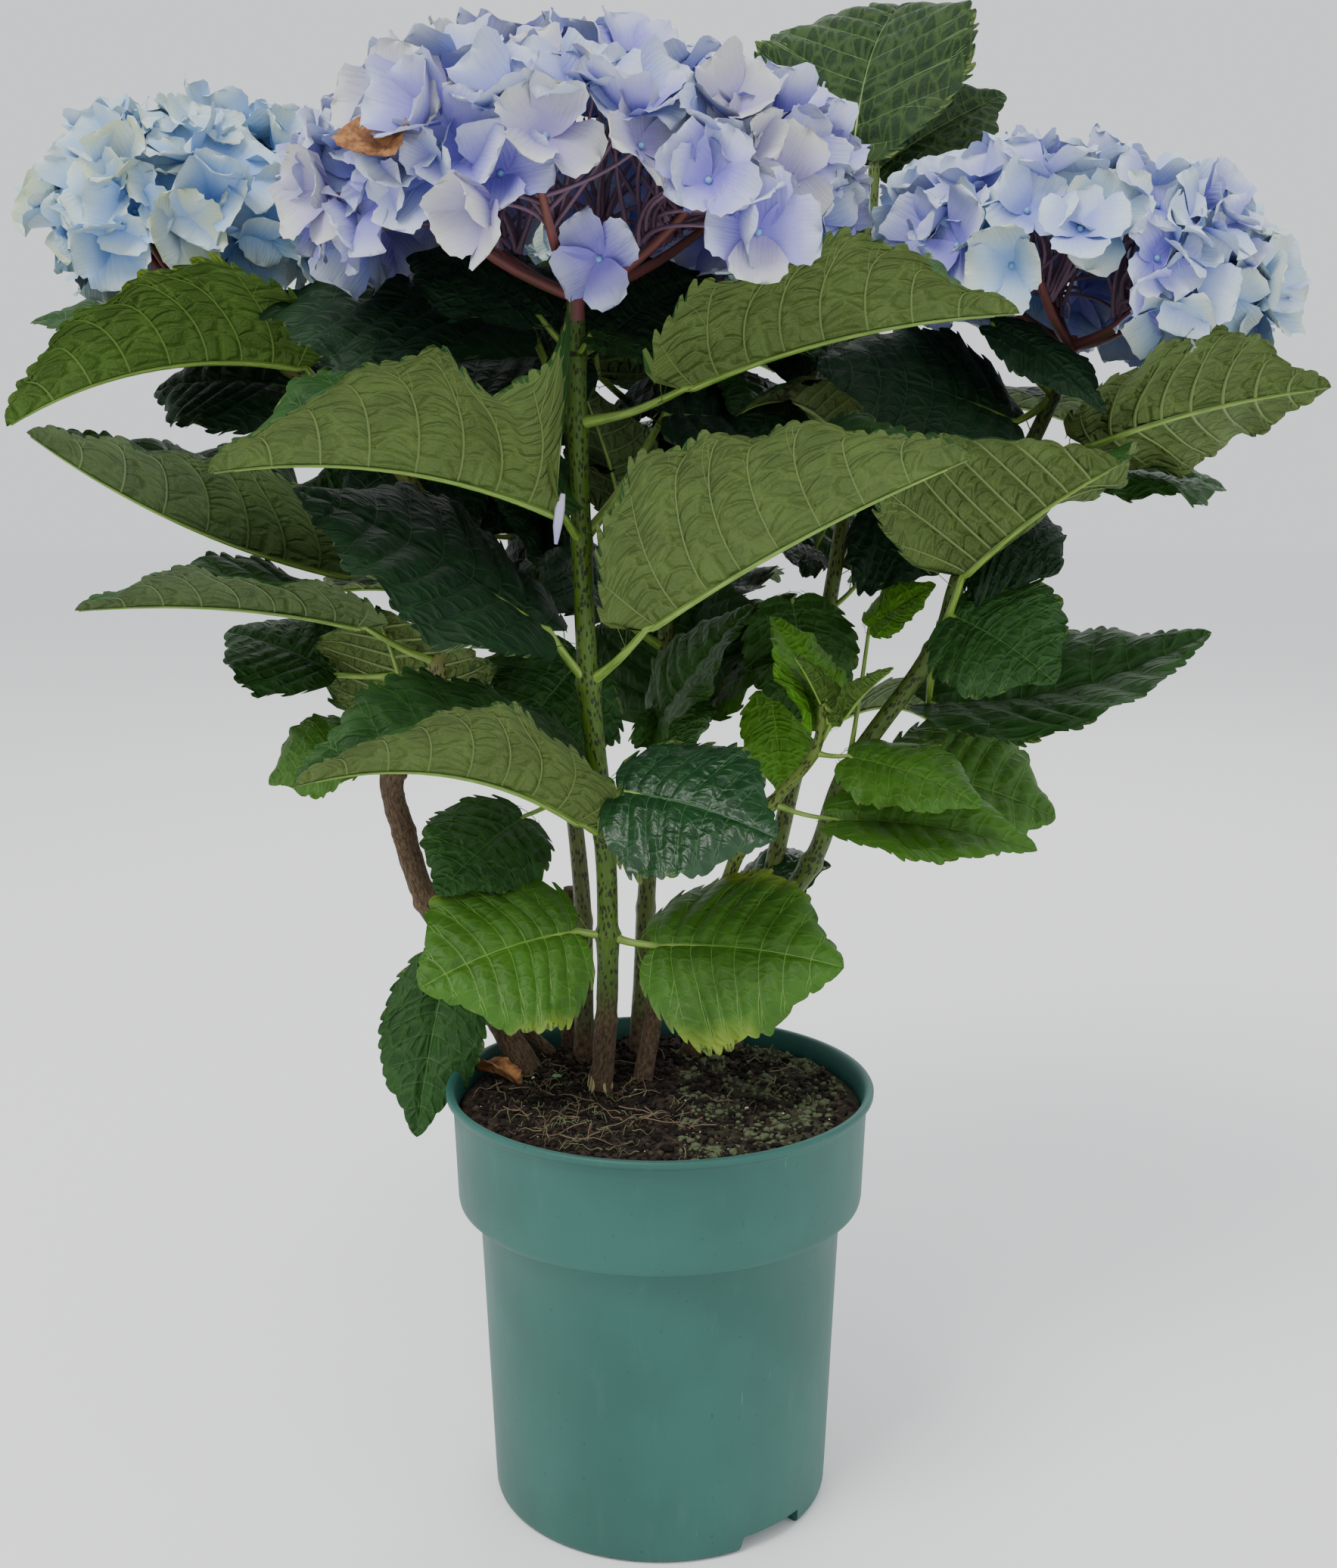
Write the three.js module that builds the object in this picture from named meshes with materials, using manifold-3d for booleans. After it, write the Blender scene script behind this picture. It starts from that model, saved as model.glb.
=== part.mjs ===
// A hydrangea in its nursery pot: several canes stand in the soil, each carries leaves in opposite
// pairs, and four of them end in a domed flower head. Millimetres, +Z up. The origin is the centre
// of the pot's underside and the plant's front faces -Y.
import * as THREE from 'three';
import { mergeVertices } from 'three/addons/utils/BufferGeometryUtils.js';
import Module from 'manifold-3d';

const wasm = await Module();
wasm.setup();

// Pot and soil
const POT_HEIGHT = 190;
const RIM_RADIUS = 95;
const BASE_RADIUS = 75.5;
const BODY_TOP_RADIUS = 81;
const COLLAR_RADIUS = 90.4;
const COLLAR_DROP = 51;
const WALL = 2.2;
const FLOOR = 9.5;
const POT_SIDES = 36;
const FOOT_NOTCH = { width: 38, height: 7.5, depth: 12, turns: [-50, 130] };
const SOIL_LEVEL = 183;
const SOIL_DIP = 2;
const CLEARANCE = 0.3;

// Stems and leaves
const STEM_SIDES = 6;
const PETIOLE_SIDES = 3;
const PETIOLE_ROOT = 2.3;
const PETIOLE_TIP = 1.5;
const MIDRIB_RADIUS = 0.8;
const FOOT_FLARE = 1.15;
const BLADE_THICKNESS = 2.4;
const BLADE_STATIONS = [0.07, 0.25, 0.5, 0.78];
const BASE_FULLNESS = 0.6;
const TIP_FULLNESS = 0.85;
const LOBE_SHARE = 0.09;
const MIDRIB_STEPS = 40;

// Flower heads
const FLORET_RADIUS = 23;
const FLORET_NOTCH = 0.78;
const FLORET_CUP = 3.5;
const FLORET_THICKNESS = 1.8;
const GOLDEN_TURN = 137.508;
const CORE_SHARE = 0.62;
const CORE_LIFT = 0.12;
const ARM = { root: 2.4, tip: 1.6, reach: 0.62, turn: 20 };
const FLORET_STALK = { root: 1.6, tip: 1.2, depth: 0.45 };
const FLORET_LEAN = 0.35;

const UP = new THREE.Vector3(0, 0, 1);
const radians = THREE.MathUtils.degToRad;

// A repeatable stream of numbers from 0 to 1.
function dice(seed) {
  let state = seed;
  return () => {
    state = (state * 16807) % 2147483647;
    return state / 2147483647;
  };
}

// The direction at a compass turn from +X towards +Y, and a rise above the horizontal.
function heading(turn, rise) {
  const flat = Math.cos(radians(rise));
  return new THREE.Vector3(
    flat * Math.cos(radians(turn)),
    flat * Math.sin(radians(turn)),
    Math.sin(radians(rise)),
  );
}

function geometryOf(corners, faces) {
  const geometry = new THREE.BufferGeometry();
  geometry.setAttribute('position', new THREE.Float32BufferAttribute(corners, 3));
  geometry.setIndex(faces);
  return geometry;
}

function solidOf(geometry) {
  const plain = new THREE.BufferGeometry();
  plain.setAttribute('position', geometry.getAttribute('position'));
  plain.setIndex(geometry.index);
  const merged = mergeVertices(plain, 1e-4);
  const mesh = new wasm.Mesh({
    numProp: 3,
    vertProperties: new Float32Array(merged.getAttribute('position').array),
    triVerts: new Uint32Array(merged.index.array),
  });
  return new wasm.Manifold(mesh);
}

// One closed tube through rings of different radius; every ring has its own centre and direction.
function tube(rings, sides) {
  const corners = [];
  const faces = [];
  let side = new THREE.Vector3(1, 0, 0);
  rings.forEach(({ centre, along, radius }) => {
    side = side.clone().addScaledVector(along, -side.dot(along));
    if (side.lengthSq() < 1e-6) {
      side = new THREE.Vector3(0, 1, 0).addScaledVector(along, -along.y);
    }
    side.normalize();
    const across = new THREE.Vector3().crossVectors(along, side);
    for (let k = 0; k < sides; k += 1) {
      const angle = (2 * Math.PI * k) / sides;
      const corner = centre.clone();
      corner.addScaledVector(side, radius * Math.cos(angle));
      corner.addScaledVector(across, radius * Math.sin(angle));
      corners.push(...corner);
    }
  });
  const first = rings.length * sides;
  corners.push(...rings[0].centre, ...rings[rings.length - 1].centre);
  for (let k = 0; k < sides; k += 1) {
    const next = (k + 1) % sides;
    for (let ring = 0; ring + 1 < rings.length; ring += 1) {
      const low = ring * sides;
      const high = low + sides;
      faces.push(low + k, low + next, high + next, low + k, high + next, high + k);
    }
    const last = (rings.length - 1) * sides;
    faces.push(first, next, k, first + 1, last + k, last + next);
  }
  return solidOf(geometryOf(corners, faces));
}

// A smooth curve through the nodes of a cane, read at a node number with a fraction.
function pointAlong(nodes, at) {
  const last = nodes.length - 1;
  const start = Math.min(Math.floor(at), last - 1);
  const share = at - start;
  const pick = (i) => nodes[Math.max(0, Math.min(last, i))];
  const [a, b, c, d] = [pick(start - 1), pick(start), pick(start + 1), pick(start + 2)];
  const blend = b.map((value, axis) => {
    const slope = (c[axis] - a[axis]) / 2;
    const nextSlope = (d[axis] - value) / 2;
    const rise = c[axis] - value;
    const square = 3 * rise - 2 * slope - nextSlope;
    const cube = slope + nextSlope - 2 * rise;
    return value + share * (slope + share * (square + share * cube));
  });
  return new THREE.Vector3(...blend);
}

function directionAlong(nodes, at) {
  const step = 0.05;
  const last = nodes.length - 1;
  const before = pointAlong(nodes, Math.max(0, at - step));
  const after = pointAlong(nodes, Math.min(last, at + step));
  return after.sub(before).normalize();
}

// The rings of a cane from one node number to another, two to an internode.
function caneRings(cane, from, to, lift) {
  const last = cane.nodes.length - 1;
  const count = Math.max(1, Math.round((to - from) * 2));
  const rings = [];
  for (let i = 0; i <= count; i += 1) {
    const at = from + ((to - from) * i) / count;
    const along = directionAlong(cane.nodes, at);
    const centre = pointAlong(cane.nodes, at);
    if (i === 0) {
      centre.addScaledVector(lift > 0 ? along : UP, lift);
    }
    const [foot, tip] = cane.radius;
    const flare = at < 0.5 ? FOOT_FLARE : 1;
    rings.push({ centre, along, radius: flare * (foot + ((tip - foot) * at) / last) });
  }
  return rings;
}

function limb(cane) {
  const rings = caneRings(cane, 0, cane.leafy, 0);
  rings[0].along = UP;
  rings[0].centre.z = SOIL_LEVEL + CLEARANCE;
  return tube(rings, STEM_SIDES);
}

// Half the width of a blade, as a share of its widest place, from base (0) to tip (1).
function outline(share) {
  const widest = BASE_FULLNESS / (BASE_FULLNESS + TIP_FULLNESS);
  const full = widest ** BASE_FULLNESS * (1 - widest) ** TIP_FULLNESS;
  return (share ** BASE_FULLNESS * (1 - share) ** TIP_FULLNESS) / full;
}

// A leaf: a petiole from the stem's axis, and a blade folded along its midrib that droops to its tip.
function leaf(root, row) {
  const [, [stalkTurn, stalkRise, stalkLength], [turn, rise, droop], [length, width], form] = row;
  const [fold, roll] = form;
  const base = root.clone().addScaledVector(heading(stalkTurn, stalkRise), stalkLength);
  const flatSide = new THREE.Vector3().crossVectors(heading(turn, 0), UP);
  const corners = [];
  const spine = [];
  const point = base.clone();
  const places = [0, ...BLADE_STATIONS, 1];
  let done = 0;
  places.forEach((share) => {
    while (done < Math.round(share * MIDRIB_STEPS)) {
      const pitch = rise - (droop * (done + 0.5)) / MIDRIB_STEPS;
      point.addScaledVector(heading(turn, pitch), length / MIDRIB_STEPS);
      done += 1;
    }
    const pitch = rise - droop * share;
    const top = heading(turn, pitch + 90);
    const side = flatSide.clone().multiplyScalar(Math.cos(radians(roll)));
    side.addScaledVector(top, Math.sin(radians(roll)));
    const forward = heading(turn, pitch);
    const normal = new THREE.Vector3().crossVectors(side, forward);
    spine.push({ centre: point.clone(), side, normal, forward });
  });
  spine.slice(1, -1).forEach(({ centre, side, normal, forward }, i) => {
    const half = (width / 2) * outline(BLADE_STATIONS[i]);
    const reach = half * Math.cos(radians(fold));
    const lift = half * Math.sin(radians(fold));
    const back = -LOBE_SHARE * length * (1 - BLADE_STATIONS[i]) ** 4;
    const edge = centre.clone().addScaledVector(normal, lift).addScaledVector(forward, back);
    const right = edge.clone().addScaledVector(side, reach);
    const left = edge.clone().addScaledVector(side, -reach);
    const above = centre.clone().addScaledVector(normal, BLADE_THICKNESS / 2);
    const below = centre.clone().addScaledVector(normal, -BLADE_THICKNESS / 2);
    corners.push(...right, ...above, ...left, ...below);
  });
  const faces = [];
  const count = BLADE_STATIONS.length;
  const baseCorner = count * 4;
  corners.push(...spine[0].centre, ...spine[count + 1].centre);
  for (let k = 0; k < 4; k += 1) {
    const next = (k + 1) % 4;
    for (let i = 0; i + 1 < count; i += 1) {
      const low = i * 4;
      faces.push(low + k, low + 4 + k, low + 4 + next, low + k, low + 4 + next, low + next);
    }
    const end = (count - 1) * 4;
    faces.push(baseCorner, k, next, baseCorner + 1, end + next, end + k);
  }
  const blade = solidOf(geometryOf(corners, faces));
  const inner = spine[2].centre;
  const along = base.clone().sub(root).normalize();
  const rings = [
    { centre: root, along, radius: PETIOLE_ROOT },
    { centre: base, along, radius: PETIOLE_TIP },
    { centre: inner, along: inner.clone().sub(base).normalize(), radius: MIDRIB_RADIUS },
  ];
  return tube(rings, PETIOLE_SIDES).add(blade);
}

// The leafy part of a cane: its stem from the first leaves up, with every leaf fused on.
function shoot(cane) {
  let solid = tube(caneRings(cane, cane.leafy, cane.nodes.length - 1, CLEARANCE), STEM_SIDES);
  cane.leaves.forEach((row) => {
    solid = solid.add(leaf(pointAlong(cane.nodes, row[0]), row));
  });
  return solid;
}

// Leaves by the general rule, from their node, compass turn and length; the rest is drawn by seed.
function fan(seed, places) {
  const roll = dice(seed);
  return places.map(([node, turn, length]) => {
    const rise = 20 + 14 * roll();
    const droop = 38 + 18 * roll();
    const form = [12 + 12 * roll(), 16 * (roll() - 0.5)];
    const stalk = [turn, rise + 12, length * 0.26];
    return [node, stalk, [turn, rise, droop], [length, length * 0.7], form];
  });
}

// One floret: four lobes round a centre, cupped a little, on a thin stalk from inside the head.
function floret(centre, normal, spin, size, inside) {
  const guide = Math.abs(normal.z) > 0.9 ? new THREE.Vector3(1, 0, 0) : UP;
  const side = new THREE.Vector3().crossVectors(normal, guide).normalize();
  const across = new THREE.Vector3().crossVectors(normal, side);
  const corners = [];
  const faces = [];
  const rim = 8;
  for (let k = 0; k < rim; k += 1) {
    const notch = k % 2 === 1;
    const angle = radians(spin + (360 * k) / rim);
    const reach = size * (notch ? FLORET_NOTCH : 1);
    const corner = centre.clone();
    corner.addScaledVector(side, reach * Math.cos(angle));
    corner.addScaledVector(across, reach * Math.sin(angle));
    corner.addScaledVector(normal, notch ? 0 : FLORET_CUP);
    corners.push(...corner);
    const next = (k + 1) % rim;
    faces.push(rim, k, next, rim + 1, next, k);
  }
  corners.push(...centre.clone().addScaledVector(normal, FLORET_THICKNESS / 2));
  corners.push(...centre.clone().addScaledVector(normal, -FLORET_THICKNESS / 2));
  const disc = solidOf(geometryOf(corners, faces));
  const along = centre.clone().sub(inside).normalize();
  const stalk = [
    { centre: inside, along, radius: FLORET_STALK.root },
    { centre: centre.clone(), along, radius: FLORET_STALK.tip },
  ];
  return disc.add(tube(stalk, 3));
}

// A flower head: a stalk that forks into arms, a core, and florets over the dome by the golden turn.
function bloom(head) {
  const roll = dice(head.seed);
  const centre = new THREE.Vector3(...head.centre);
  const size = new THREE.Vector3(...head.size);
  const tilt = new THREE.Matrix4().makeRotationY(radians(head.tilt));
  const hub = new THREE.Vector3(...head.hub);
  const along = directionAlong(head.cane.nodes, head.cane.nodes.length - 1);
  const start = pointAlong(head.cane.nodes, head.cane.nodes.length - 1);
  start.addScaledVector(along, CLEARANCE);
  const thick = head.cane.radius[1];
  let solid = tube([
    { centre: start, along, radius: thick },
    { centre: hub, along, radius: thick * 0.9 },
    { centre, along: UP, radius: thick * 0.6 },
  ], STEM_SIDES);
  const core = new THREE.SphereGeometry(1, 10, 6);
  core.rotateX(Math.PI / 2);
  core.scale(size.x * CORE_SHARE, size.y * CORE_SHARE, size.z * CORE_SHARE);
  core.translate(0, 0, size.z * CORE_LIFT);
  core.applyMatrix4(tilt);
  core.translate(...centre);
  solid = solid.add(solidOf(core));
  for (let k = 0; k < head.arms; k += 1) {
    const turn = (360 * k) / head.arms + ARM.turn;
    const out = heading(turn, 0).multiply(size).multiplyScalar(ARM.reach);
    out.applyMatrix4(tilt).add(centre);
    const way = out.clone().sub(hub).normalize();
    const rings = [
      { centre: hub, along: way, radius: ARM.root },
      { centre: out, along: way, radius: ARM.tip },
    ];
    solid = solid.add(tube(rings, 3));
  }
  const lowest = Math.cos(radians(head.overhang));
  for (let i = 0; i < head.count; i += 1) {
    const height = 1 - ((i + 0.5) / head.count) * (1 - lowest);
    const ring = Math.sqrt(1 - height * height);
    const turn = i * GOLDEN_TURN + 8 * (roll() - 0.5);
    const ball = heading(turn, 0).multiplyScalar(ring);
    ball.z = height;
    const swell = 0.97 + 0.07 * roll();
    const place = ball.clone().multiply(size).multiplyScalar(swell).applyMatrix4(tilt);
    const normal = ball.clone().divide(size).normalize();
    normal.x += FLORET_LEAN * (roll() - 0.5);
    normal.y += FLORET_LEAN * (roll() - 0.5);
    normal.normalize().applyMatrix4(tilt);
    const inside = place.clone().multiplyScalar(FLORET_STALK.depth).add(centre);
    const spin = 90 * roll();
    const reach = FLORET_RADIUS * (0.92 + 0.16 * roll());
    solid = solid.add(floret(place.add(centre), normal, spin, reach, inside));
  }
  return solid;
}

// The outside radius of the pot's body at a height below the collar.
function bodyRadius(height) {
  return BASE_RADIUS + ((BODY_TOP_RADIUS - BASE_RADIUS) * height) / (POT_HEIGHT - COLLAR_DROP);
}

// The pot: a turned wall with a wide collar under a thin lip, and two notches in its foot.
function pot() {
  const collarFoot = POT_HEIGHT - COLLAR_DROP;
  const footRadius = bodyRadius(FLOOR);
  const profile = [
    [0, 0],
    [BASE_RADIUS - 3.5, 0],
    [BASE_RADIUS, 3],
    [BODY_TOP_RADIUS, collarFoot - 2.5],
    [COLLAR_RADIUS - 1, collarFoot - 1],
    [COLLAR_RADIUS, collarFoot + 1.2],
    [RIM_RADIUS - 2.6, POT_HEIGHT - 4],
    [RIM_RADIUS, POT_HEIGHT - 2.6],
    [RIM_RADIUS, POT_HEIGHT - 0.6],
    [RIM_RADIUS - 0.8, POT_HEIGHT],
    [RIM_RADIUS - 3.4, POT_HEIGHT],
    [RIM_RADIUS - 4.8, POT_HEIGHT - 5],
    [COLLAR_RADIUS - WALL, collarFoot + 2],
    [BODY_TOP_RADIUS - WALL, collarFoot - 1.5],
    [footRadius - WALL, FLOOR + 3],
    [footRadius - WALL - 3, FLOOR],
    [0, FLOOR],
  ].map(([radius, height]) => new THREE.Vector2(radius, height));
  const wall = new THREE.LatheGeometry(profile, POT_SIDES);
  wall.rotateX(Math.PI / 2);
  let solid = solidOf(wall);
  FOOT_NOTCH.turns.forEach((turn) => {
    const notch = new THREE.BoxGeometry(2 * FOOT_NOTCH.depth, FOOT_NOTCH.width, 2 * FOOT_NOTCH.height);
    notch.translate(BASE_RADIUS, 0, 0);
    notch.rotateZ(radians(turn));
    solid = solid.subtract(solidOf(notch));
  });
  return solid;
}

// The root ball fills the pot inside its wall; its top is level where the canes stand.
function soil() {
  const gap = CLEARANCE;
  const footRadius = bodyRadius(FLOOR);
  const collarFoot = POT_HEIGHT - COLLAR_DROP;
  const bodyTop = BODY_TOP_RADIUS - WALL - gap;
  const collar = COLLAR_RADIUS - WALL - 2 * gap;
  const profile = [
    [0, FLOOR + gap],
    [footRadius - WALL - 3 - gap, FLOOR + gap],
    [footRadius - WALL - 2 * gap, FLOOR + 3 + gap],
    [bodyTop - gap, collarFoot - 1.2],
    [collar, collarFoot + 2 + gap],
    [RIM_RADIUS - 5.6, SOIL_LEVEL - SOIL_DIP - 1],
    [RIM_RADIUS - 8, SOIL_LEVEL - SOIL_DIP],
    [RIM_RADIUS - 14, SOIL_LEVEL],
    [0, SOIL_LEVEL],
  ].map(([radius, height]) => new THREE.Vector2(radius, height));
  const ball = new THREE.LatheGeometry(profile, POT_SIDES);
  ball.rotateX(Math.PI / 2);
  return solidOf(ball);
}

// Canes: the nodes from the soil up, the radius at foot and tip, the node where the leafy part
// begins, and the leaves. A leaf's row: its node; petiole turn, rise and length; blade turn, rise
// and droop; blade length and width; fold of the halves and roll about the midrib.
const CANES = {
  front: {
    nodes: [
      [-27, 6, 183], [-24, 5, 217], [-23, 2, 257], [-24, -4, 304], [-30, -12, 371],
      [-32, -20, 431], [-33, -26, 479], [-33, -29, 505], [-33, -30, 519],
    ],
    radius: [5, 3.7],
    leafy: 1.7,
    leaves: [
      [2, [-156, 13, 15], [-151, 1, 25], [76, 84], [-8, 42]],
      [2, [-22, -7, 21], [-16, 8, 20], [86, 90], [-14, -44]],
      [3, [-130, 25, 14], [-159, 37, 50], [130, 92], [48, 8]],
      [3, [-72, 50, 30], [-24, -1, 20], [74, 74], [-8, -40]],
      [4, [-143, 50, 31], [-173, 37, 14], [118, 96], [-4, 26]],
      [4, [-36, 39, 39], [-24, 34, 12], [153, 116], [52, 0]],
      [5, [-114, 34, 19], [-163, 25, 34], [143, 124], [50, 0]],
      [5, [40, 49, 68], [12, 2, 22], [78, 88], [-6, -26]],
      [6, [-29, 15, 51], [-18, 23, 22], [133, 86], [44, 0]],
      [6, [133, 53, 50], [167, 16, 24], [105, 102], [-6, 27]],
      [7, [-176, 47, 21], [158, 38, 30], [66, 60], [0, 26]],
      [7, [-63, 32, 15], [-22, -12, 20], [35, 24], [0, -20]],
      [7, [55, 23, 23], [38, 36, 24], [64, 62], [-6, -36]],
    ],
  },
  left: {
    nodes: [
      [-62, 34, 183], [-84, 40, 222], [-108, 45, 262], [-118, 45, 294], [-121, 40, 323],
      [-99, 35, 350], [-97, 30, 374], [-89, 30, 400], [-96, 36, 430], [-126, 48, 471],
      [-165, 56, 503], [-198, 60, 525],
    ],
    radius: [6, 3],
    leafy: 3.6,
    leaves: [
      [4, [-159, 50, 17], [-172, -5, 30], [49, 52], [0, 30]],
      [6, [-166, 27, 37], [-168, 15, 20], [123, 70], [28, 0]],
      [4, [26, 66, 23], [-120, 77, 20], [60, 98], [0, 0]],
      [6, [150, -9, 60], [160, 27, 20], [62, 70], [0, 20]],
      [9, [-150, 45, 44], [-161, 11, 44], [130, 88], [40, -12]],
      [9, [157, 31, 42], [161, 15, 30], [80, 84], [0, 34]],
      [10, [134, 18, 40], [176, 17, 24], [100, 72], [0, 24]],
      [8, [-171, -25, 42], [-172, 12, -26], [151, 104], [34, 0]],
    ],
  },
  right: {
    nodes: [
      [14, 56, 183], [36, 45, 231], [69, 38, 281], [84, 32, 324], [121, 28, 380],
      [131, 25, 411], [152, 25, 452], [170, 29, 490], [175, 30, 505],
    ],
    radius: [4.8, 3],
    leafy: 2.7,
    leaves: [
      [3, [34, -5, 32], [2, -5, 24], [77, 76], [0, -44]],
      [4, [-71, 54, 43], [-53, 39, 16], [97, 134], [24, 8]],
      [4, [-68, 48, 23], [-37, -17, 20], [56, 66], [0, -40]],
      [4, [88, -57, 31], [-3, -2, -34], [131, 78], [10, -26]],
      [7, [-157, -31, 21], [-168, 25, 22], [93, 92], [-8, 42]],
      [7, [-142, 36, 50], [-28, -21, 30], [63, 32], [-10, -30]],
      [6, [-21, 29, 36], [-10, 22, 16], [102, 92], [4, 34]],
      [6, [39, 8, 43], [11, 3, 20], [75, 70], [0, -20]],
      [5, [59, 41, 29], [-23, -9, 30], [40, 80], [-10, -30]],
    ],
  },
  side: {
    nodes: [
      [-8, 20, 183], [3, 26, 233], [26, 28, 265], [36, 25, 290], [50, 22, 312],
      [68, 16, 336], [71, 12, 358],
    ],
    radius: [4, 2],
    leafy: 1.7,
    leaves: [
      [5, [-16, 61, 15], [-155, 70, 20], [38, 26], [20, 0]],
      [6, [-13, -31, 10], [-26, 56, 20], [33, 26], [20, 0]],
      [5, [63, 59, 13], [139, 69, 20], [55, 44], [10, 0]],
      [5, [-24, -1, 16], [-28, -3, 24], [64, 50], [-8, -24]],
      [4, [-16, -11, 29], [-8, 3, 20], [90, 50], [10, -34]],
    ],
  },
  low: {
    nodes: [[-52, 56, 183], [-72, 62, 200], [-92, 58, 214], [-104, 42, 224]],
    radius: [3.2, 2.2],
    leafy: 0.6,
    leaves: [[3, [-66, 30, 25], [-79, -26, 14], [78, 40], [0, 30]]],
  },
  back: {
    nodes: [
      [-10, 60, 183], [-7, 72, 251], [-3, 86, 310], [2, 102, 372], [4, 118, 430],
      [2, 132, 480], [0, 144, 508],
    ],
    radius: [4.6, 3],
    leafy: 1.6,
    leaves: [
      [2, [-59, 86, 31], [53, 62, 16], [84, 90], [10, 0]],
      [2, [-13, 53, 44], [18, 59, 16], [70, 70], [8, -10]],
      [4, [-93, 56, 50], [-42, -18, 24], [87, 88], [-6, -46]],
      [5, [-98, -14, 37], [-25, -2, 22], [80, 86], [-6, -50]],
      ...fan(11, [[3, 75, 115], [4, 105, 110], [5, 60, 100], [5, 120, 90], [4, 215, 82], [5, -60, 110]]),
    ],
  },
  back_left: {
    nodes: [
      [-36, 46, 183], [-36, 52, 250], [-42, 66, 310], [-52, 84, 370], [-60, 100, 425],
      [-64, 110, 470],
    ],
    radius: [4.4, 2.6],
    leafy: 1.6,
    leaves: [
      [3, [-64, 5, 38], [-142, -36, 20], [66, 72], [-6, 40]],
      [2, [-133, -16, 31], [-122, -10, 20], [68, 56], [-6, 30]],
      [4, [-144, 54, 57], [-160, -13, 24], [65, 88], [-6, 46]],
      ...fan(23, [[2, 135, 90], [3, 160, 110], [4, 135, 115], [5, 165, 100]]),
    ],
  },
  back_right: {
    nodes: [
      [34, 70, 183], [50, 82, 250], [66, 92, 320], [80, 100, 390], [90, 106, 460],
      [96, 108, 530], [99, 107, 600],
    ],
    radius: [4.8, 2.6],
    leafy: 0.9,
    leaves: [
      [6, [153, 11, 11], [66, 77, 60], [109, 104], [8, 0]],
      [6, [77, -25, 12], [27, 35, 14], [82, 52], [8, -50]],
      [2, [-149, 64, 36], [-69, -67, 10], [49, 36], [0, 0]],
      [1, [-150, 40, 16], [2, 24, 20], [44, 38], [0, -24]],
      [4, [-81, -25, 40], [-23, -20, 20], [54, 80], [-6, -46]],
      ...fan(37, [[2, 45, 95], [3, 70, 115], [4, 25, 120], [5, 50, 105], [3, -10, 80], [4, -120, 100]]),
    ],
  },
};

const HEADS = {
  front: {
    cane: CANES.front, hub: [-33, -31, 528], centre: [-32, -31, 572], size: [112, 98, 60],
    tilt: 0, overhang: 112, arms: 6, count: 33, seed: 101,
  },
  left: {
    cane: CANES.left, hub: [-202, 60, 531], centre: [-205, 60, 567], size: [64, 62, 46],
    tilt: 0, overhang: 112, arms: 5, count: 17, seed: 202,
  },
  right: {
    cane: CANES.right, hub: [177, 30, 511], centre: [182, 30, 547], size: [84, 78, 49],
    tilt: 10, overhang: 112, arms: 5, count: 22, seed: 303,
  },
  back: {
    cane: CANES.back, hub: [0, 147, 516], centre: [2, 157, 560], size: [78, 74, 46],
    tilt: 0, overhang: 112, arms: 5, count: 18, seed: 404,
  },
};

const STUB = { nodes: [[-42, 68, 183], [-43, 68, 225], [-42, 67, 262]], radius: [5.2, 4], leafy: 2 };

const COLOURS = {
  pot: [0x4c8577, 0.55],
  soil: [0x3a2c22, 0.95],
  wood: [0x6b5138, 0.85],
  stem: [0x6f8a3f, 0.6],
  leaf: [0x3c6128, 0.5],
  bloom: [0xa9b3de, 0.7],
};

const group = new THREE.Group();
group.name = 'potted_hydrangea';

function place(name, solid, finish) {
  const data = solid.getMesh();
  const geometry = geometryOf(Array.from(data.vertProperties), Array.from(data.triVerts));
  const [color, roughness] = COLOURS[finish];
  const material = new THREE.MeshStandardMaterial({ color, roughness, metalness: 0 });
  const mesh = new THREE.Mesh(geometry, material);
  mesh.name = name;
  group.add(mesh);
}

place('pot', pot(), 'pot');
place('soil', soil(), 'soil');
place('stem_stub', limb(STUB), 'wood');
Object.entries(CANES).forEach(([name, cane]) => {
  place(`stem_${name}`, limb(cane), name === 'left' ? 'wood' : 'stem');
  place(`leaves_${name}`, shoot(cane), 'leaf');
});
Object.entries(HEADS).forEach(([name, head]) => {
  place(`bloom_${name}`, bloom(head), 'bloom');
});

export default group;
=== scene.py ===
import math

import bpy
import numpy as np
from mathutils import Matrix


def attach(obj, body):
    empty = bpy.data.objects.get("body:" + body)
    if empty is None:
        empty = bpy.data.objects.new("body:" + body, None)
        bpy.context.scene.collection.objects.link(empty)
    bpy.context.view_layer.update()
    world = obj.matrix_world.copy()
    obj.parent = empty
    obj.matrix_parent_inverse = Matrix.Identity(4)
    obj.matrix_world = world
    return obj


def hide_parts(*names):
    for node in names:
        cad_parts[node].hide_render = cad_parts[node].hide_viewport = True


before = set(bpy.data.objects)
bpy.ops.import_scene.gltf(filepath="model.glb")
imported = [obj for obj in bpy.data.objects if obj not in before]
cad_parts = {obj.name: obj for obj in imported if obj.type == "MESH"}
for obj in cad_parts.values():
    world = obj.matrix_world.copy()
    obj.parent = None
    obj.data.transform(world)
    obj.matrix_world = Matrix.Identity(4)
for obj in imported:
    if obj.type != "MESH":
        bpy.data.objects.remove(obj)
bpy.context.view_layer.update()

# ---------------------------------------------------------------------------------------------
# Pot. One injection-moulded shell of matt teal plastic: a wide collar hangs over a tapered body,
# the lip is a thin out-turned bead, and the foot has two notches that let water run out.
POT_HEIGHT = 190
RIM_RADIUS = 95
BASE_RADIUS = 75.5
BODY_TOP_RADIUS = 81
COLLAR_RADIUS = 90.4
COLLAR_FOOT = 139
WALL = 2.2
FLOOR = 9.5
POT_SIDES = 160
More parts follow.
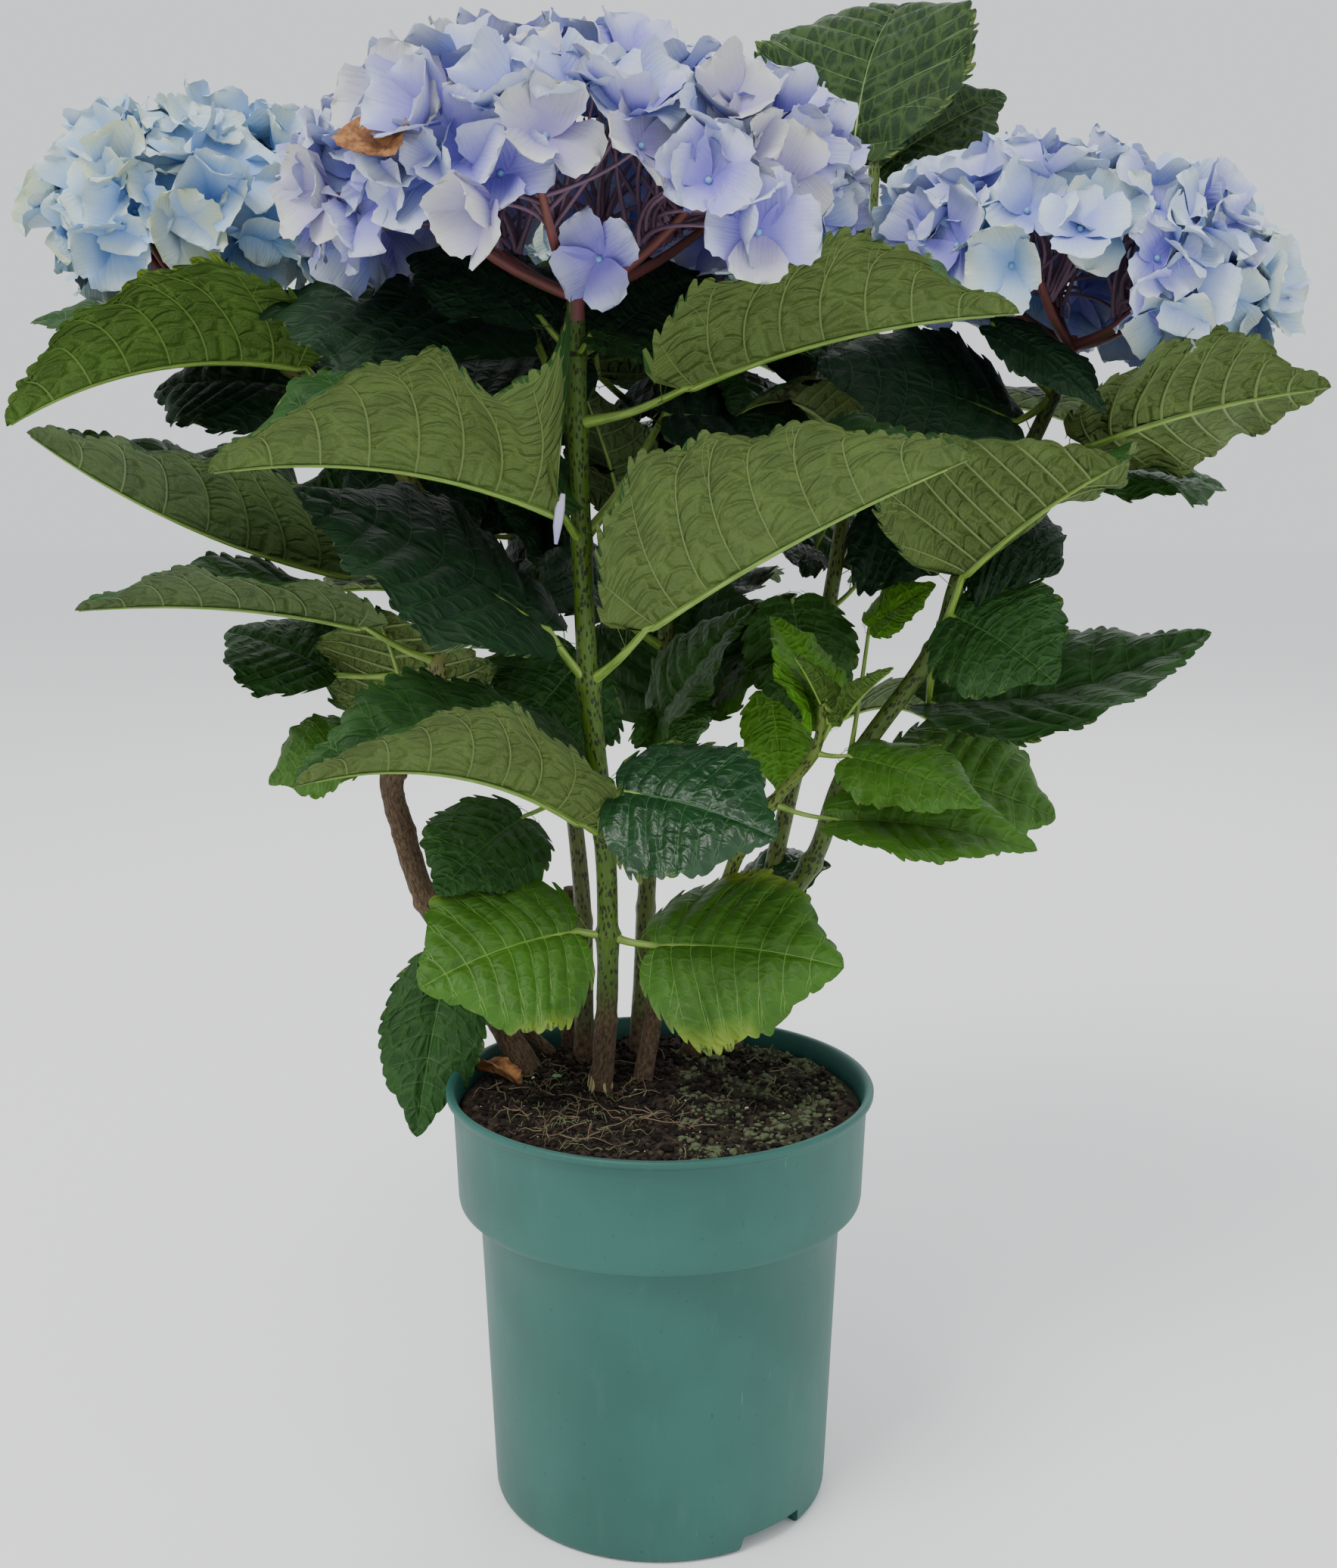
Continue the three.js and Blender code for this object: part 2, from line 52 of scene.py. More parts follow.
NOTCH_TURNS = (-50, 130)
NOTCH_WIDTH, NOTCH_HEIGHT, NOTCH_DEPTH = 38, 7.5, 12
METRE = 0.001


def tint(red, green, blue):
    """A paint mixed by its 8-bit screen values, as the shader's linear numbers."""
    steps = [value / 255 for value in (red, green, blue)]
    return [
        value / 12.92 if value < 0.04045 else ((value + 0.055) / 1.055) ** 2.4 for value in steps
    ] + [1.0]


class Wire:
    """A shader socket that plain arithmetic can be written with."""

    def __init__(self, paint, socket):
        self.paint = paint
        self.socket = socket

    def maths(self, operation, *values):
        return self.paint.node("ShaderNodeMath", {"operation": operation}, *values)

    def __add__(self, other):
        return self.maths("ADD", self, other)

    __radd__ = __add__

    def __mul__(self, other):
        return self.maths("MULTIPLY", self, other)

    __rmul__ = __mul__

    def __sub__(self, other):
        return self.maths("SUBTRACT", self, other)

    def __rsub__(self, other):
        return self.maths("SUBTRACT", other, self)

    def __abs__(self):
        return self.maths("ABSOLUTE", self)

    def sine(self):
        return self.maths("SINE", self)

    def ramp(self, low, high):
        """0 below low, 1 above high, and smooth between."""
        settings = {"interpolation_type": "SMOOTHSTEP"}
        return self.paint.node("ShaderNodeMapRange", settings, self, low, high, 0.0, 1.0)


class Paint:
    """One finish: a Principled surface and the nodes that vary it."""

    COLOUR_RESULT = 2

    def __init__(self, name, colour, roughness, **constants):
        self.material = bpy.data.materials.new(name)
        self.material.use_nodes = True
        self.tree = self.material.node_tree
        self.surface = self.tree.nodes["Principled BSDF"]
        self.set("Base Color", colour)
        self.set("Roughness", roughness)
        for socket, value in constants.items():
            self.set(socket.replace("_", " "), value)

    def set(self, socket, value):
        """A socket of the surface, as a constant or led by a wire."""
        target = self.surface.inputs[socket]
        if isinstance(value, Wire):
            self.tree.links.new(value.socket, target)
        else:
            target.default_value = value

    def node(self, kind, settings, *values, output=0):
        """Any node, from its type, its settings and the values or wires of its sockets."""
        made = self.tree.nodes.new(kind)
        for setting, value in settings.items():
            setattr(made, setting, value)
        for place, value in enumerate(values):
            if isinstance(value, Wire):
                self.tree.links.new(value.socket, made.inputs[place])
            elif value is not None:
                made.inputs[place].default_value = value
        return Wire(self, made.outputs[output])

    def blend(self, factor, first, second):
        """A colour between two colours."""
        number_sockets = [None] * 5
        return self.node(
            "ShaderNodeMix", {"data_type": "RGBA"}, factor, *number_sockets, first, second,
            output=self.COLOUR_RESULT,
        )

    def where(self, scale=(1, 1, 1), chart=None):
        """The place on the piece: in metres on the plant, or as one of its charts gives it."""
        if chart:
            place = self.node("ShaderNodeUVMap", {"uv_map": chart})
        else:
            place = self.node("ShaderNodeTexCoord", {}, output="Object")
        return self.node("ShaderNodeVectorMath", {"operation": "MULTIPLY"}, place, scale)

    def part(self, axis, chart=None):
        """One axis of that place, as a number: 0, 1 or 2."""
        return self.node("ShaderNodeSeparateXYZ", {}, self.where(chart=chart), output=axis)

    def noise(self, place, scale, detail=2.0, rough=0.5):
        """Cloudy noise between 0 and 1, mostly near a half."""
        return self.node("ShaderNodeTexNoise", {}, place, None, scale, detail, rough)

    def cells(self, place, scale, feature="F1"):
        """How far the nearest cell's point or, by the other feature, its border is."""
        return self.node("ShaderNodeTexVoronoi", {"feature": feature}, place, None, scale)

    def relief(self, height, distance, strength=1.0):
        """Raises the surface by a wire, to a distance in metres."""
        bump = self.node("ShaderNodeBump", {}, strength, distance)
        self.tree.links.new(height.socket, bump.socket.node.inputs["Height"])
        self.set("Normal", bump)


class Sheaf:
    """Gathers patches of one kind, and joins them into a piece."""

    def __init__(self):
        self.points = []
        self.patches = []
        self.total = 0

    def add_points(self, points):
        """Takes in any block of points, and gives their numbers in the piece."""
        flat = np.asarray(points, dtype=float).reshape(-1, 3)
        first = self.total
        self.points.append(flat)
        self.total += len(flat)
        return np.arange(first, self.total)

    def add_grid(self, index, grain, finish=0):
        """Quads over a grid of point numbers, with each corner's place along the grain."""
        rows, columns = index.shape
        low = (np.arange(rows - 1)[:, None] * columns + np.arange(columns - 1)).ravel()
        quads = np.stack([low, low + 1, low + columns + 1, low + columns], axis=1)
        self.patches.append((index.ravel()[quads], grain.reshape(rows * columns, -1)[quads], finish))

    def add_fan(self, hub, ring, grain, finish=0):
        """Triangles from one point to a row of points."""
        count = len(ring) - 1
        faces = np.stack([np.full(count, hub), ring[:-1], ring[1:]], axis=1)
        middle = np.repeat(grain.mean(axis=0)[None], count, axis=0)
        corners = np.stack([middle, grain[:-1], grain[1:]], axis=1)
        self.patches.append((faces, corners, finish))

    def packed(self, gap=2.0, slack=1.04):
        """Each patch's grain laid side by side in the unit square."""
        flats = [corners[..., :2] for _, corners, _ in self.patches]
        sizes = [np.ptp(flat.reshape(-1, 2), axis=0) + gap for flat in flats]
        order = sorted(range(len(sizes)), key=lambda number: -sizes[number][1])
        area = sum(wide * high for wide, high in sizes)
        broad = max(math.sqrt(area) * slack, max(wide for wide, _ in sizes))
        laid = [None] * len(sizes)
        across, up, shelf = 0.0, 0.0, 0.0
        for number in order:
            wide, high = sizes[number]
            if across + wide > broad and across > 0:
                across, up, shelf = 0.0, up + shelf, 0.0
            start = flats[number].reshape(-1, 2).min(axis=0)
            laid[number] = flats[number] - start + np.array([across, up]) + gap / 2
            across += wide
            shelf = max(shelf, high)
        return [corners / max(broad, up + shelf) for corners in laid]


def make_piece(name, sheaf, paints, replaced, patterned=True, crease=75):
    """The sheaf as one mesh piece that rides on the plant, with its charts where it has a pattern."""
    mesh = bpy.data.meshes.new(name)
    points = np.concatenate(sheaf.points) * METRE
    mesh.vertices.add(len(points))
    mesh.vertices.foreach_set("co", points.ravel())
    corners = np.concatenate([faces.ravel() for faces, _, _ in sheaf.patches])
    sides = np.concatenate([np.full(len(faces), faces.shape[1]) for faces, _, _ in sheaf.patches])
    finish = np.concatenate([np.full(len(faces), worn) for faces, _, worn in sheaf.patches])
    mesh.loops.add(len(corners))
    mesh.loops.foreach_set("vertex_index", corners)
    mesh.polygons.add(len(sides))
    mesh.polygons.foreach_set("loop_start", np.concatenate([[0], np.cumsum(sides)[:-1]]))
    mesh.polygons.foreach_set("material_index", finish.astype(np.int32))
    mesh.polygons.foreach_set("use_smooth", np.ones(len(sides), dtype=bool))
    if patterned:
        wide = sheaf.patches[0][1].shape[-1]
        grain = np.concatenate([corners.reshape(-1, wide) for _, corners, _ in sheaf.patches])
        laid_out = np.concatenate([laid.reshape(-1, 2) for laid in sheaf.packed()])
        mesh.uv_layers.new(name="grain").uv.foreach_set("vector", grain[:, :2].ravel())
        if wide > 2:
            mesh.uv_layers.new(name="quilt").uv.foreach_set("vector", grain[:, 2:].ravel())
        mesh.uv_layers.new(name="OFBake").uv.foreach_set("vector", laid_out.ravel())
    mesh.update(calc_edges=True)
    mesh.validate()
    mesh.set_sharp_from_angle(angle=math.radians(crease))
    piece = bpy.data.objects.new(name, mesh)
    bpy.context.scene.collection.objects.link(piece)
    for paint in paints:
        mesh.materials.append(paint.material)
    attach(piece, "root")
    if replaced:
        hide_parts(*replaced)
    return piece


def turned(sheaf, profile, sides, wobble=None):
    """A closed surface turned about the upright axis from a profile of radius and height."""
    profile = np.array(profile, dtype=float)
    turns = np.linspace(0, 2 * math.pi, sides + 1)
    rings = profile[:, None, 0] * np.ones(sides)
    heights = profile[:, None, 1] * np.ones(sides)
    if wobble is not None:
        heights = heights + wobble(rings, turns[:-1][None, :])
    points = np.stack([rings * np.cos(turns[:-1]), rings * np.sin(turns[:-1]), heights], axis=-1)
    index = sheaf.add_points(points).reshape(len(profile), sides)
    index = np.concatenate([index, index[:, :1]], axis=1)
    walked = np.concatenate([[0], np.cumsum(np.hypot(*np.diff(profile, axis=0).T))])
    around = profile[:, 0].max() * turns
    grain = np.stack(np.broadcast_arrays(around[None, :], walked[:, None]), axis=-1)
    sheaf.add_grid(index, grain)
    for row, flip in ((0, 1), (-1, -1)):
        hub = sheaf.add_points([0, 0, heights[row].mean()])[0]
        sheaf.add_fan(hub, index[row][::-flip], grain[row][::-flip])


def body_radius(height):
    return BASE_RADIUS + (BODY_TOP_RADIUS - BASE_RADIUS) * height / COLLAR_FOOT


foot_radius = body_radius(FLOOR)
pot_profile = [
    (2, 2.2), (60, 2.2), (62, 0.3), (BASE_RADIUS - 4, 0), (BASE_RADIUS - 1.6, 0.5),
    (BASE_RADIUS - 0.4, 1.6), (BASE_RADIUS, 3.2),
]
pot_profile += [(body_radius(height), height) for height in (12, 40, 75, 110)]
pot_profile += [
    (BODY_TOP_RADIUS, COLLAR_FOOT - 3.2), (BODY_TOP_RADIUS + 0.9, COLLAR_FOOT - 1.8),
    (COLLAR_RADIUS - 4.2, COLLAR_FOOT - 1.5), (COLLAR_RADIUS - 1.6, COLLAR_FOOT - 0.9),
    (COLLAR_RADIUS - 0.4, COLLAR_FOOT + 0.4), (COLLAR_RADIUS, COLLAR_FOOT + 2.4),
    (COLLAR_RADIUS + 0.4, COLLAR_FOOT + 14), (COLLAR_RADIUS + 1.0, COLLAR_FOOT + 30),
    (RIM_RADIUS - 3.0, POT_HEIGHT - 6.5), (RIM_RADIUS - 2.6, POT_HEIGHT - 4.6),
    (RIM_RADIUS - 1.0, POT_HEIGHT - 3.6), (RIM_RADIUS, POT_HEIGHT - 2.6),
    (RIM_RADIUS + 0.1, POT_HEIGHT - 1.2), (RIM_RADIUS - 0.5, POT_HEIGHT - 0.2),
    (RIM_RADIUS - 1.6, POT_HEIGHT), (RIM_RADIUS - 2.9, POT_HEIGHT - 0.3),
    (RIM_RADIUS - 3.9, POT_HEIGHT - 1.6), (RIM_RADIUS - 4.8, POT_HEIGHT - 5),
    (COLLAR_RADIUS - WALL, COLLAR_FOOT + 2.4), (COLLAR_RADIUS - WALL - 1.6, COLLAR_FOOT),
    (BODY_TOP_RADIUS - WALL, COLLAR_FOOT - 1.5), (foot_radius - WALL, FLOOR + 3),
    (foot_radius - WALL - 3, FLOOR), (2, FLOOR),
]
shell = Sheaf()
turned(shell, pot_profile, POT_SIDES)

teal = Paint("teal_plastic", tint(37, 89, 81), 0.5, Specular_IOR_Level=0.4)
place = teal.where()
cloud = teal.noise(place, 14.0, 3.0)
dust = teal.noise(teal.where((1, 1, 0.25)), 90.0, 5.0, 0.65)
chips = teal.noise(place, 420.0, 1.0).ramp(0.74, 0.78)
near_foot = 1 - teal.part(2).ramp(0.004, 0.05)
colour = teal.blend(cloud.ramp(0.35, 0.7), tint(34, 83, 75), tint(40, 93, 84))
colour = teal.blend(dust.ramp(0.55, 0.8) * 0.22, colour, tint(80, 122, 113))
colour = teal.blend(near_foot * dust.ramp(0.4, 0.7) * 0.25, colour, tint(44, 80, 72))
colour = teal.blend(chips * 0.6, colour, tint(28, 56, 50))
scuffs = teal.noise(teal.where((1, 1, 0.06)), 520.0, 2.0).ramp(0.76, 0.8)
teal.set("Base Color", teal.blend(scuffs * 0.16, colour, tint(150, 186, 176)))
teal.set("Roughness", 0.46 + 0.14 * dust)
teal.relief(teal.noise(place, 900.0, 2.0) + 0.6 * dust, 0.0001, 0.5)

pot_shell = make_piece(
    "pot_shell", shell, [teal], ["pot"], patterned=False, crease=50
)


def cut_notches(piece):
    """Takes the two notches out of the foot with a Boolean, and keeps its result as the mesh."""
    below = -8
    section = ((-1, below), (1, below), (0.92, NOTCH_HEIGHT), (-0.78, NOTCH_HEIGHT))
    box = ((0, 3, 2, 1), (4, 5, 6, 7), (0, 1, 5, 4), (1, 2, 6, 5), (2, 3, 7, 6), (3, 0, 4, 7))
    corners, faces = [], []
    for turn in NOTCH_TURNS:
        east, north = math.cos(math.radians(turn)), math.sin(math.radians(turn))
        faces += [[len(corners) + corner for corner in side] for side in box]
        for out in (BASE_RADIUS - NOTCH_DEPTH, BASE_RADIUS + NOTCH_DEPTH):
            for across, up in section:
                aside = across * NOTCH_WIDTH / 2
                corner = (out * east - aside * north, out * north + aside * east, up)
                corners.append([value * METRE for value in corner])
    cutter_mesh = bpy.data.meshes.new("notch_cutter")
    cutter_mesh.from_pydata(corners, [], faces)
    cutter = bpy.data.objects.new("notch_cutter", cutter_mesh)
    bpy.context.scene.collection.objects.link(cutter)
    cut = piece.modifiers.new("notches", "BOOLEAN")
    cut.operation = "DIFFERENCE"
    cut.solver = "EXACT"
    cut.object = cutter
    bpy.context.view_layer.update()
    evaluated = piece.evaluated_get(bpy.context.evaluated_depsgraph_get())
    notched = bpy.data.meshes.new_from_object(evaluated)
    piece.modifiers.clear()
    piece.data = notched
    bpy.data.objects.remove(cutter)


cut_notches(pot_shell)

# ---------------------------------------------------------------------------------------------
# Root ball. Peat and bark fines fill the pot to just under its lip. The top is uneven and
# crumbly, mossy towards the right, with pale dead roots and a dry leaf lying on it.
SOIL_LEVEL = 183
SOIL_EDGE = 86.5
BED_RADIUS = RIM_RADIUS - 6
BED_SIDES = 144
CRUMB_COUNT = 5000
FIBRE_COUNT, FIBRE_STEPS = 190, 9
# The finishes of the crumbs, by their place in crumb_paints.
DARK_PEAT, BROWN_PEAT, BARK, MOSS, WHITE_GRIT = range(5)
LOOSE, LOOSE_SHARES = (DARK_PEAT, BROWN_PEAT, BARK, WHITE_GRIT), (0.52, 0.38, 0.09, 0.01)
grit = np.random.default_rng(19)


def edge_drop(rings):
    """How far the peat has sunk along the pot's wall."""
    return 3.2 * np.clip((rings - 80) / 9, 0, 1) ** 1.5


def dip(rings, turns):
    """How far the peat's top lies above or below its level."""
    x = rings * np.cos(turns)
    y = rings * np.sin(turns)
    rough = 1.2 * np.sin(x / 9 + 1.7 * np.sin(y / 13)) * np.cos(y / 7 + 0.6 * np.sin(x / 11))
    rough = rough + 0.7 * np.sin(x / 3.1 + y / 4.3) + 0.5 * np.cos(y / 2.3 - x / 3.7)
    mound = 1.5 * np.exp(-((x + 20) ** 2 + (y - 30) ** 2) / 1800)
    return np.where(rings > 1, rough + mound - 0.6, 0.9)


bed = Sheaf()
fill_profile = [
    (3, FLOOR + 0.3), (foot_radius - WALL - 3.3, FLOOR + 0.3), (foot_radius - WALL - 0.6, FLOOR + 3.3),
    (BODY_TOP_RADIUS - WALL - 0.6, COLLAR_FOOT - 1.2), (COLLAR_RADIUS - WALL - 0.6, COLLAR_FOOT + 2.3),
    (RIM_RADIUS - 5.8, SOIL_LEVEL - 4),
]
turned(bed, fill_profile + [(BED_RADIUS, SOIL_LEVEL - edge_drop(BED_RADIUS))], BED_SIDES)


def top_relief(rings, turns):
    """The same unevenness, fading out where the peat meets the wall."""
    return dip(rings, turns) * np.clip((BED_RADIUS - rings) / 4, 0, 1)


top_rings = np.linspace(BED_RADIUS, 1.5, 60)
top_profile = np.stack([top_rings, SOIL_LEVEL - edge_drop(top_rings)], axis=1)
turned(bed, top_profile, BED_SIDES, wobble=top_relief)

peat = Paint("peat", tint(44, 36, 31), 0.95, Specular_IOR_Level=0.15)
place = peat.where()
clods = peat.noise(place, 260.0, 6.0, 0.7)
moss_area = peat.part(0).ramp(0.0, 0.06) * peat.noise(place, 60.0, 3.0).ramp(0.4, 0.55)
colour = peat.blend(clods.ramp(0.35, 0.68), tint(25, 20, 18), tint(70, 58, 49))
colour = peat.blend(moss_area * 0.6, colour, tint(66, 74, 54))
peat.set("Base Color", colour)
peat.relief(clods, 0.0022)
make_piece("peat_bed", bed, [peat], ["soil"], patterned=False)

crumb_paints = [
    Paint("peat_crumb_dark", tint(29, 26, 24), 0.95, Specular_IOR_Level=0.1),
    Paint("peat_crumb_brown", tint(45, 40, 33), 0.95, Specular_IOR_Level=0.1),
    Paint("bark_fine", tint(68, 58, 47), 0.9, Specular_IOR_Level=0.1),
    Paint("moss_tuft", tint(84, 92, 68), 0.95, Specular_IOR_Level=0.1),
    Paint("grit_white", tint(196, 192, 182), 0.8),
]
BALL_POINTS = np.array([
    (0, 0, 1), (0.89, 0, 0.45), (0.28, 0.85, 0.45), (-0.72, 0.53, 0.45), (-0.72, -0.53, 0.45),
    (0.28, -0.85, 0.45), (0.72, 0.53, -0.45), (-0.28, 0.85, -0.45), (-0.89, 0, -0.45),
    (-0.28, -0.85, -0.45), (0.72, -0.53, -0.45), (0, 0, -1),
])
BALL_FACES = np.array([
    (0, 1, 2), (0, 2, 3), (0, 3, 4), (0, 4, 5), (0, 5, 1), (1, 6, 2), (2, 7, 3), (3, 8, 4),
    (4, 9, 5), (5, 10, 1), (2, 6, 7), (3, 7, 8), (4, 8, 9), (5, 9, 10), (1, 10, 6), (11, 7, 6),
    (11, 8, 7), (11, 9, 8), (11, 10, 9), (11, 6, 10),
])


def add_ball(sheaf, centre, size, finish=0, rough=0.0, dice_roll=None):
    """A bead or crumb of twenty faces, roughened and turned where it is given rough."""
    shape = BALL_POINTS * np.asarray(size, dtype=float)
    if rough:
        shape = shape * (1 + rough * (dice_roll.random((len(BALL_POINTS), 1)) - 0.5))
        turn = dice_roll.random() * math.tau
        spin = np.array([
            (math.cos(turn), -math.sin(turn), 0), (math.sin(turn), math.cos(turn), 0), (0, 0, 1),
        ])
        shape = shape @ spin
    first = sheaf.add_points(shape + np.asarray(centre, dtype=float))[0]
    faces = BALL_FACES + first
    sheaf.patches.append((faces, np.zeros(faces.shape + (2,)), finish))


crumbs = Sheaf()
for _ in range(CRUMB_COUNT):
    ring = (SOIL_EDGE - 3) * math.sqrt(grit.random())
    turn = grit.random() * math.tau
    x, y = ring * math.cos(turn), ring * math.sin(turn)
    big = 0.5 + 1.5 * grit.random() ** 3
    lift = float(dip(ring, turn) - edge_drop(ring))
    mossy = x > 8 and grit.random() < 0.8 * (0.5 + 0.5 * math.sin(x / 7 + 2 * math.sin(y / 9)))
    pick = MOSS if mossy else int(grit.choice(LOOSE, p=LOOSE_SHARES))
    size = big * (0.6 + 0.9 * grit.random(3)) * (1, 1, 0.7)
    if pick == WHITE_GRIT:
        size = size * 0.6
    add_ball(crumbs, (x, y, SOIL_LEVEL + lift + big * 0.25), size, pick, 0.5, grit)
make_piece("peat_crumbs", crumbs, crumb_paints, (), patterned=False, crease=180)


def frames_along(centres):
    """Two directions square to a line of points, carried along it without twist."""
    along = np.gradient(centres, axis=0)
    along = along / np.linalg.norm(along, axis=1)[:, None]
    side = np.array([1.0, 0, 0]) if abs(along[0][0]) < 0.9 else np.array([0, 1.0, 0])
    sides = []
    for way in along:
        side = side - way * side.dot(way)
        side = side / np.linalg.norm(side)
        sides.append(side)
    sides = np.array(sides)
    return sides, np.cross(along, sides)


def add_tube(sheaf, centres, radii, sides, finish=0):
    """A closed tube along a line; radii may vary round it as well as along it."""
    centres = np.asarray(centres, dtype=float)
    aside, across = frames_along(centres)
    radii = np.asarray(radii, dtype=float)
    radii = np.broadcast_to(radii if radii.ndim == 2 else radii[:, None], (len(centres), sides))
    turns = np.arange(sides) * math.tau / sides
    spokes = aside[:, None] * np.cos(turns)[:, None] + across[:, None] * np.sin(turns)[:, None]
    points = centres[:, None] + spokes * radii[..., None]
    index = sheaf.add_points(points).reshape(len(centres), sides)
    index = np.concatenate([index, index[:, :1]], axis=1)
    walked = np.concatenate([[0], np.cumsum(np.linalg.norm(np.diff(centres, axis=0), axis=1))])
    round_it = radii.mean() * math.tau * np.linspace(0, 1, sides + 1)
    grain = np.stack(np.broadcast_arrays(walked[:, None], round_it[None, :]), axis=-1)
    sheaf.add_grid(index, grain, finish)
    for row, flip in ((0, 1), (-1, -1)):
        hub = sheaf.add_points(centres[row])[0]
        sheaf.add_fan(hub, index[row][::-flip], grain[row][::-flip], finish)


fibres = Sheaf()
for number in range(FIBRE_COUNT):
    ring = (SOIL_EDGE - 12) * math.sqrt(grit.random())
    turn = math.pi * (0.75 + 0.7 * grit.random()) if number % 3 else grit.random() * math.tau
    start = np.array([ring * math.cos(turn), ring * math.sin(turn), SOIL_LEVEL + 2.4])
    way = grit.random() * math.tau
    bend = 2.4 * (grit.random() - 0.5)
    length = (5 + 9 * grit.random()) if number % 4 else (16 + 22 * grit.random())
    steps = np.linspace(0, 1, FIBRE_STEPS)
    ways = way + bend * steps
    line = start + np.stack([
        np.cumsum(np.cos(ways)) * length / FIBRE_STEPS,
        np.cumsum(np.sin(ways)) * length / FIBRE_STEPS,
        2.2 * np.sin(steps * 9 + number) * steps - steps,
    ], axis=1)
    if (np.hypot(line[:, 0], line[:, 1]) < SOIL_EDGE - 2).all():
        add_tube(fibres, line, 0.3 - 0.18 * steps, 4, min(number % 4, 2))
fibre_paints = [
    Paint("dead_root", tint(110, 95, 74), 0.85),
    Paint("dead_root_dark", tint(76, 62, 47), 0.85),
    Paint("moss_thread", tint(92, 100, 66), 0.85),
]
make_piece("dead_roots", fibres, fibre_paints, (), patterned=False)

# ---------------------------------------------------------------------------------------------
# Canes. Each grows from the root ball by a smooth curve through its nodes. Wood is brown and
# flaking at the foot; the young part is green, flecked with dark pores, and swells at each node
# where a pair of leaves stands or has fallen.
FOOT_FLARE = 1.15
CANE_SIDES = 18
RING_STEP = 1.6
NODE_SWELL, NODE_REACH = 0.24, 2.6
SCAR_SWELL, SCAR_REACH = 0.07, 5
RIB_DEPTH, RIB_COUNT = 0.018, 6
WOOD_BLEND, FLAKE_DEPTH = 24, 0.16
BARK_RING_DEPTH, BARK_RING_GAP, BARK_RING_REACH = 0.05, 11, 1.4
# The general rule for leaves: the whole-number generator that it draws from, then the least of
# each measure and how much a draw adds; the roll swings both ways, and stalk and width follow.
FAN_FACTOR, FAN_RANGE = 16807, 2147483647
FAN_RISE, FAN_DROOP, FAN_FOLD, FAN_ROLL = (20, 14), (38, 18), (12, 12), 16
FAN_STALK_RISE, FAN_STALK_SHARE, FAN_WIDTH_SHARE = 12, 0.26, 0.7


def heading(turn, rise):
    """The direction at a compass turn from +X towards +Y, and a rise above the horizontal."""
    turn, rise = np.radians(turn), np.radians(rise)
    flat = np.cos(rise)
    return np.stack(
        np.broadcast_arrays(flat * np.cos(turn), flat * np.sin(turn), np.sin(rise)), axis=-1
    )


def point_along(nodes, at):
    """A smooth curve through a cane's nodes, read at node numbers with a fraction."""
    nodes = np.asarray(nodes, dtype=float)
    last = len(nodes) - 1
    at = np.atleast_1d(np.asarray(at, dtype=float))
    start = np.minimum(np.floor(at).astype(int), last - 1)
    share = (at - start)[:, None]
    before, here, there, beyond = (nodes[np.clip(start + on, 0, last)] for on in (-1, 0, 1, 2))
    slope, next_slope = (there - before) / 2, (beyond - here) / 2
    rise = there - here
    square = 3 * rise - 2 * slope - next_slope
    cube = slope + next_slope - 2 * rise
    return here + share * (slope + share * (square + share * cube))


def fan(seed, places):
    """Leaves by the general rule, from their node, compass turn and length."""
    state = seed
    rows = []
    for node, turn, length in places:
        drawn = []
        for _ in range(4):
            state = (state * FAN_FACTOR) % FAN_RANGE
            drawn.append(state / FAN_RANGE)
        rise = FAN_RISE[0] + FAN_RISE[1] * drawn[0]
        droop = FAN_DROOP[0] + FAN_DROOP[1] * drawn[1]
        form = (FAN_FOLD[0] + FAN_FOLD[1] * drawn[2], FAN_ROLL * (drawn[3] - 0.5))
        stalk = (turn, rise + FAN_STALK_RISE, length * FAN_STALK_SHARE)
        size = (length, length * FAN_WIDTH_SHARE)
        # Every other leaf takes the deep upper side, which is painted shade.
        looks = ("deep shade", "full sage")[len(rows) % 2]
        rows.append((node, stalk, (turn, rise, droop), size, form, looks))
    return rows
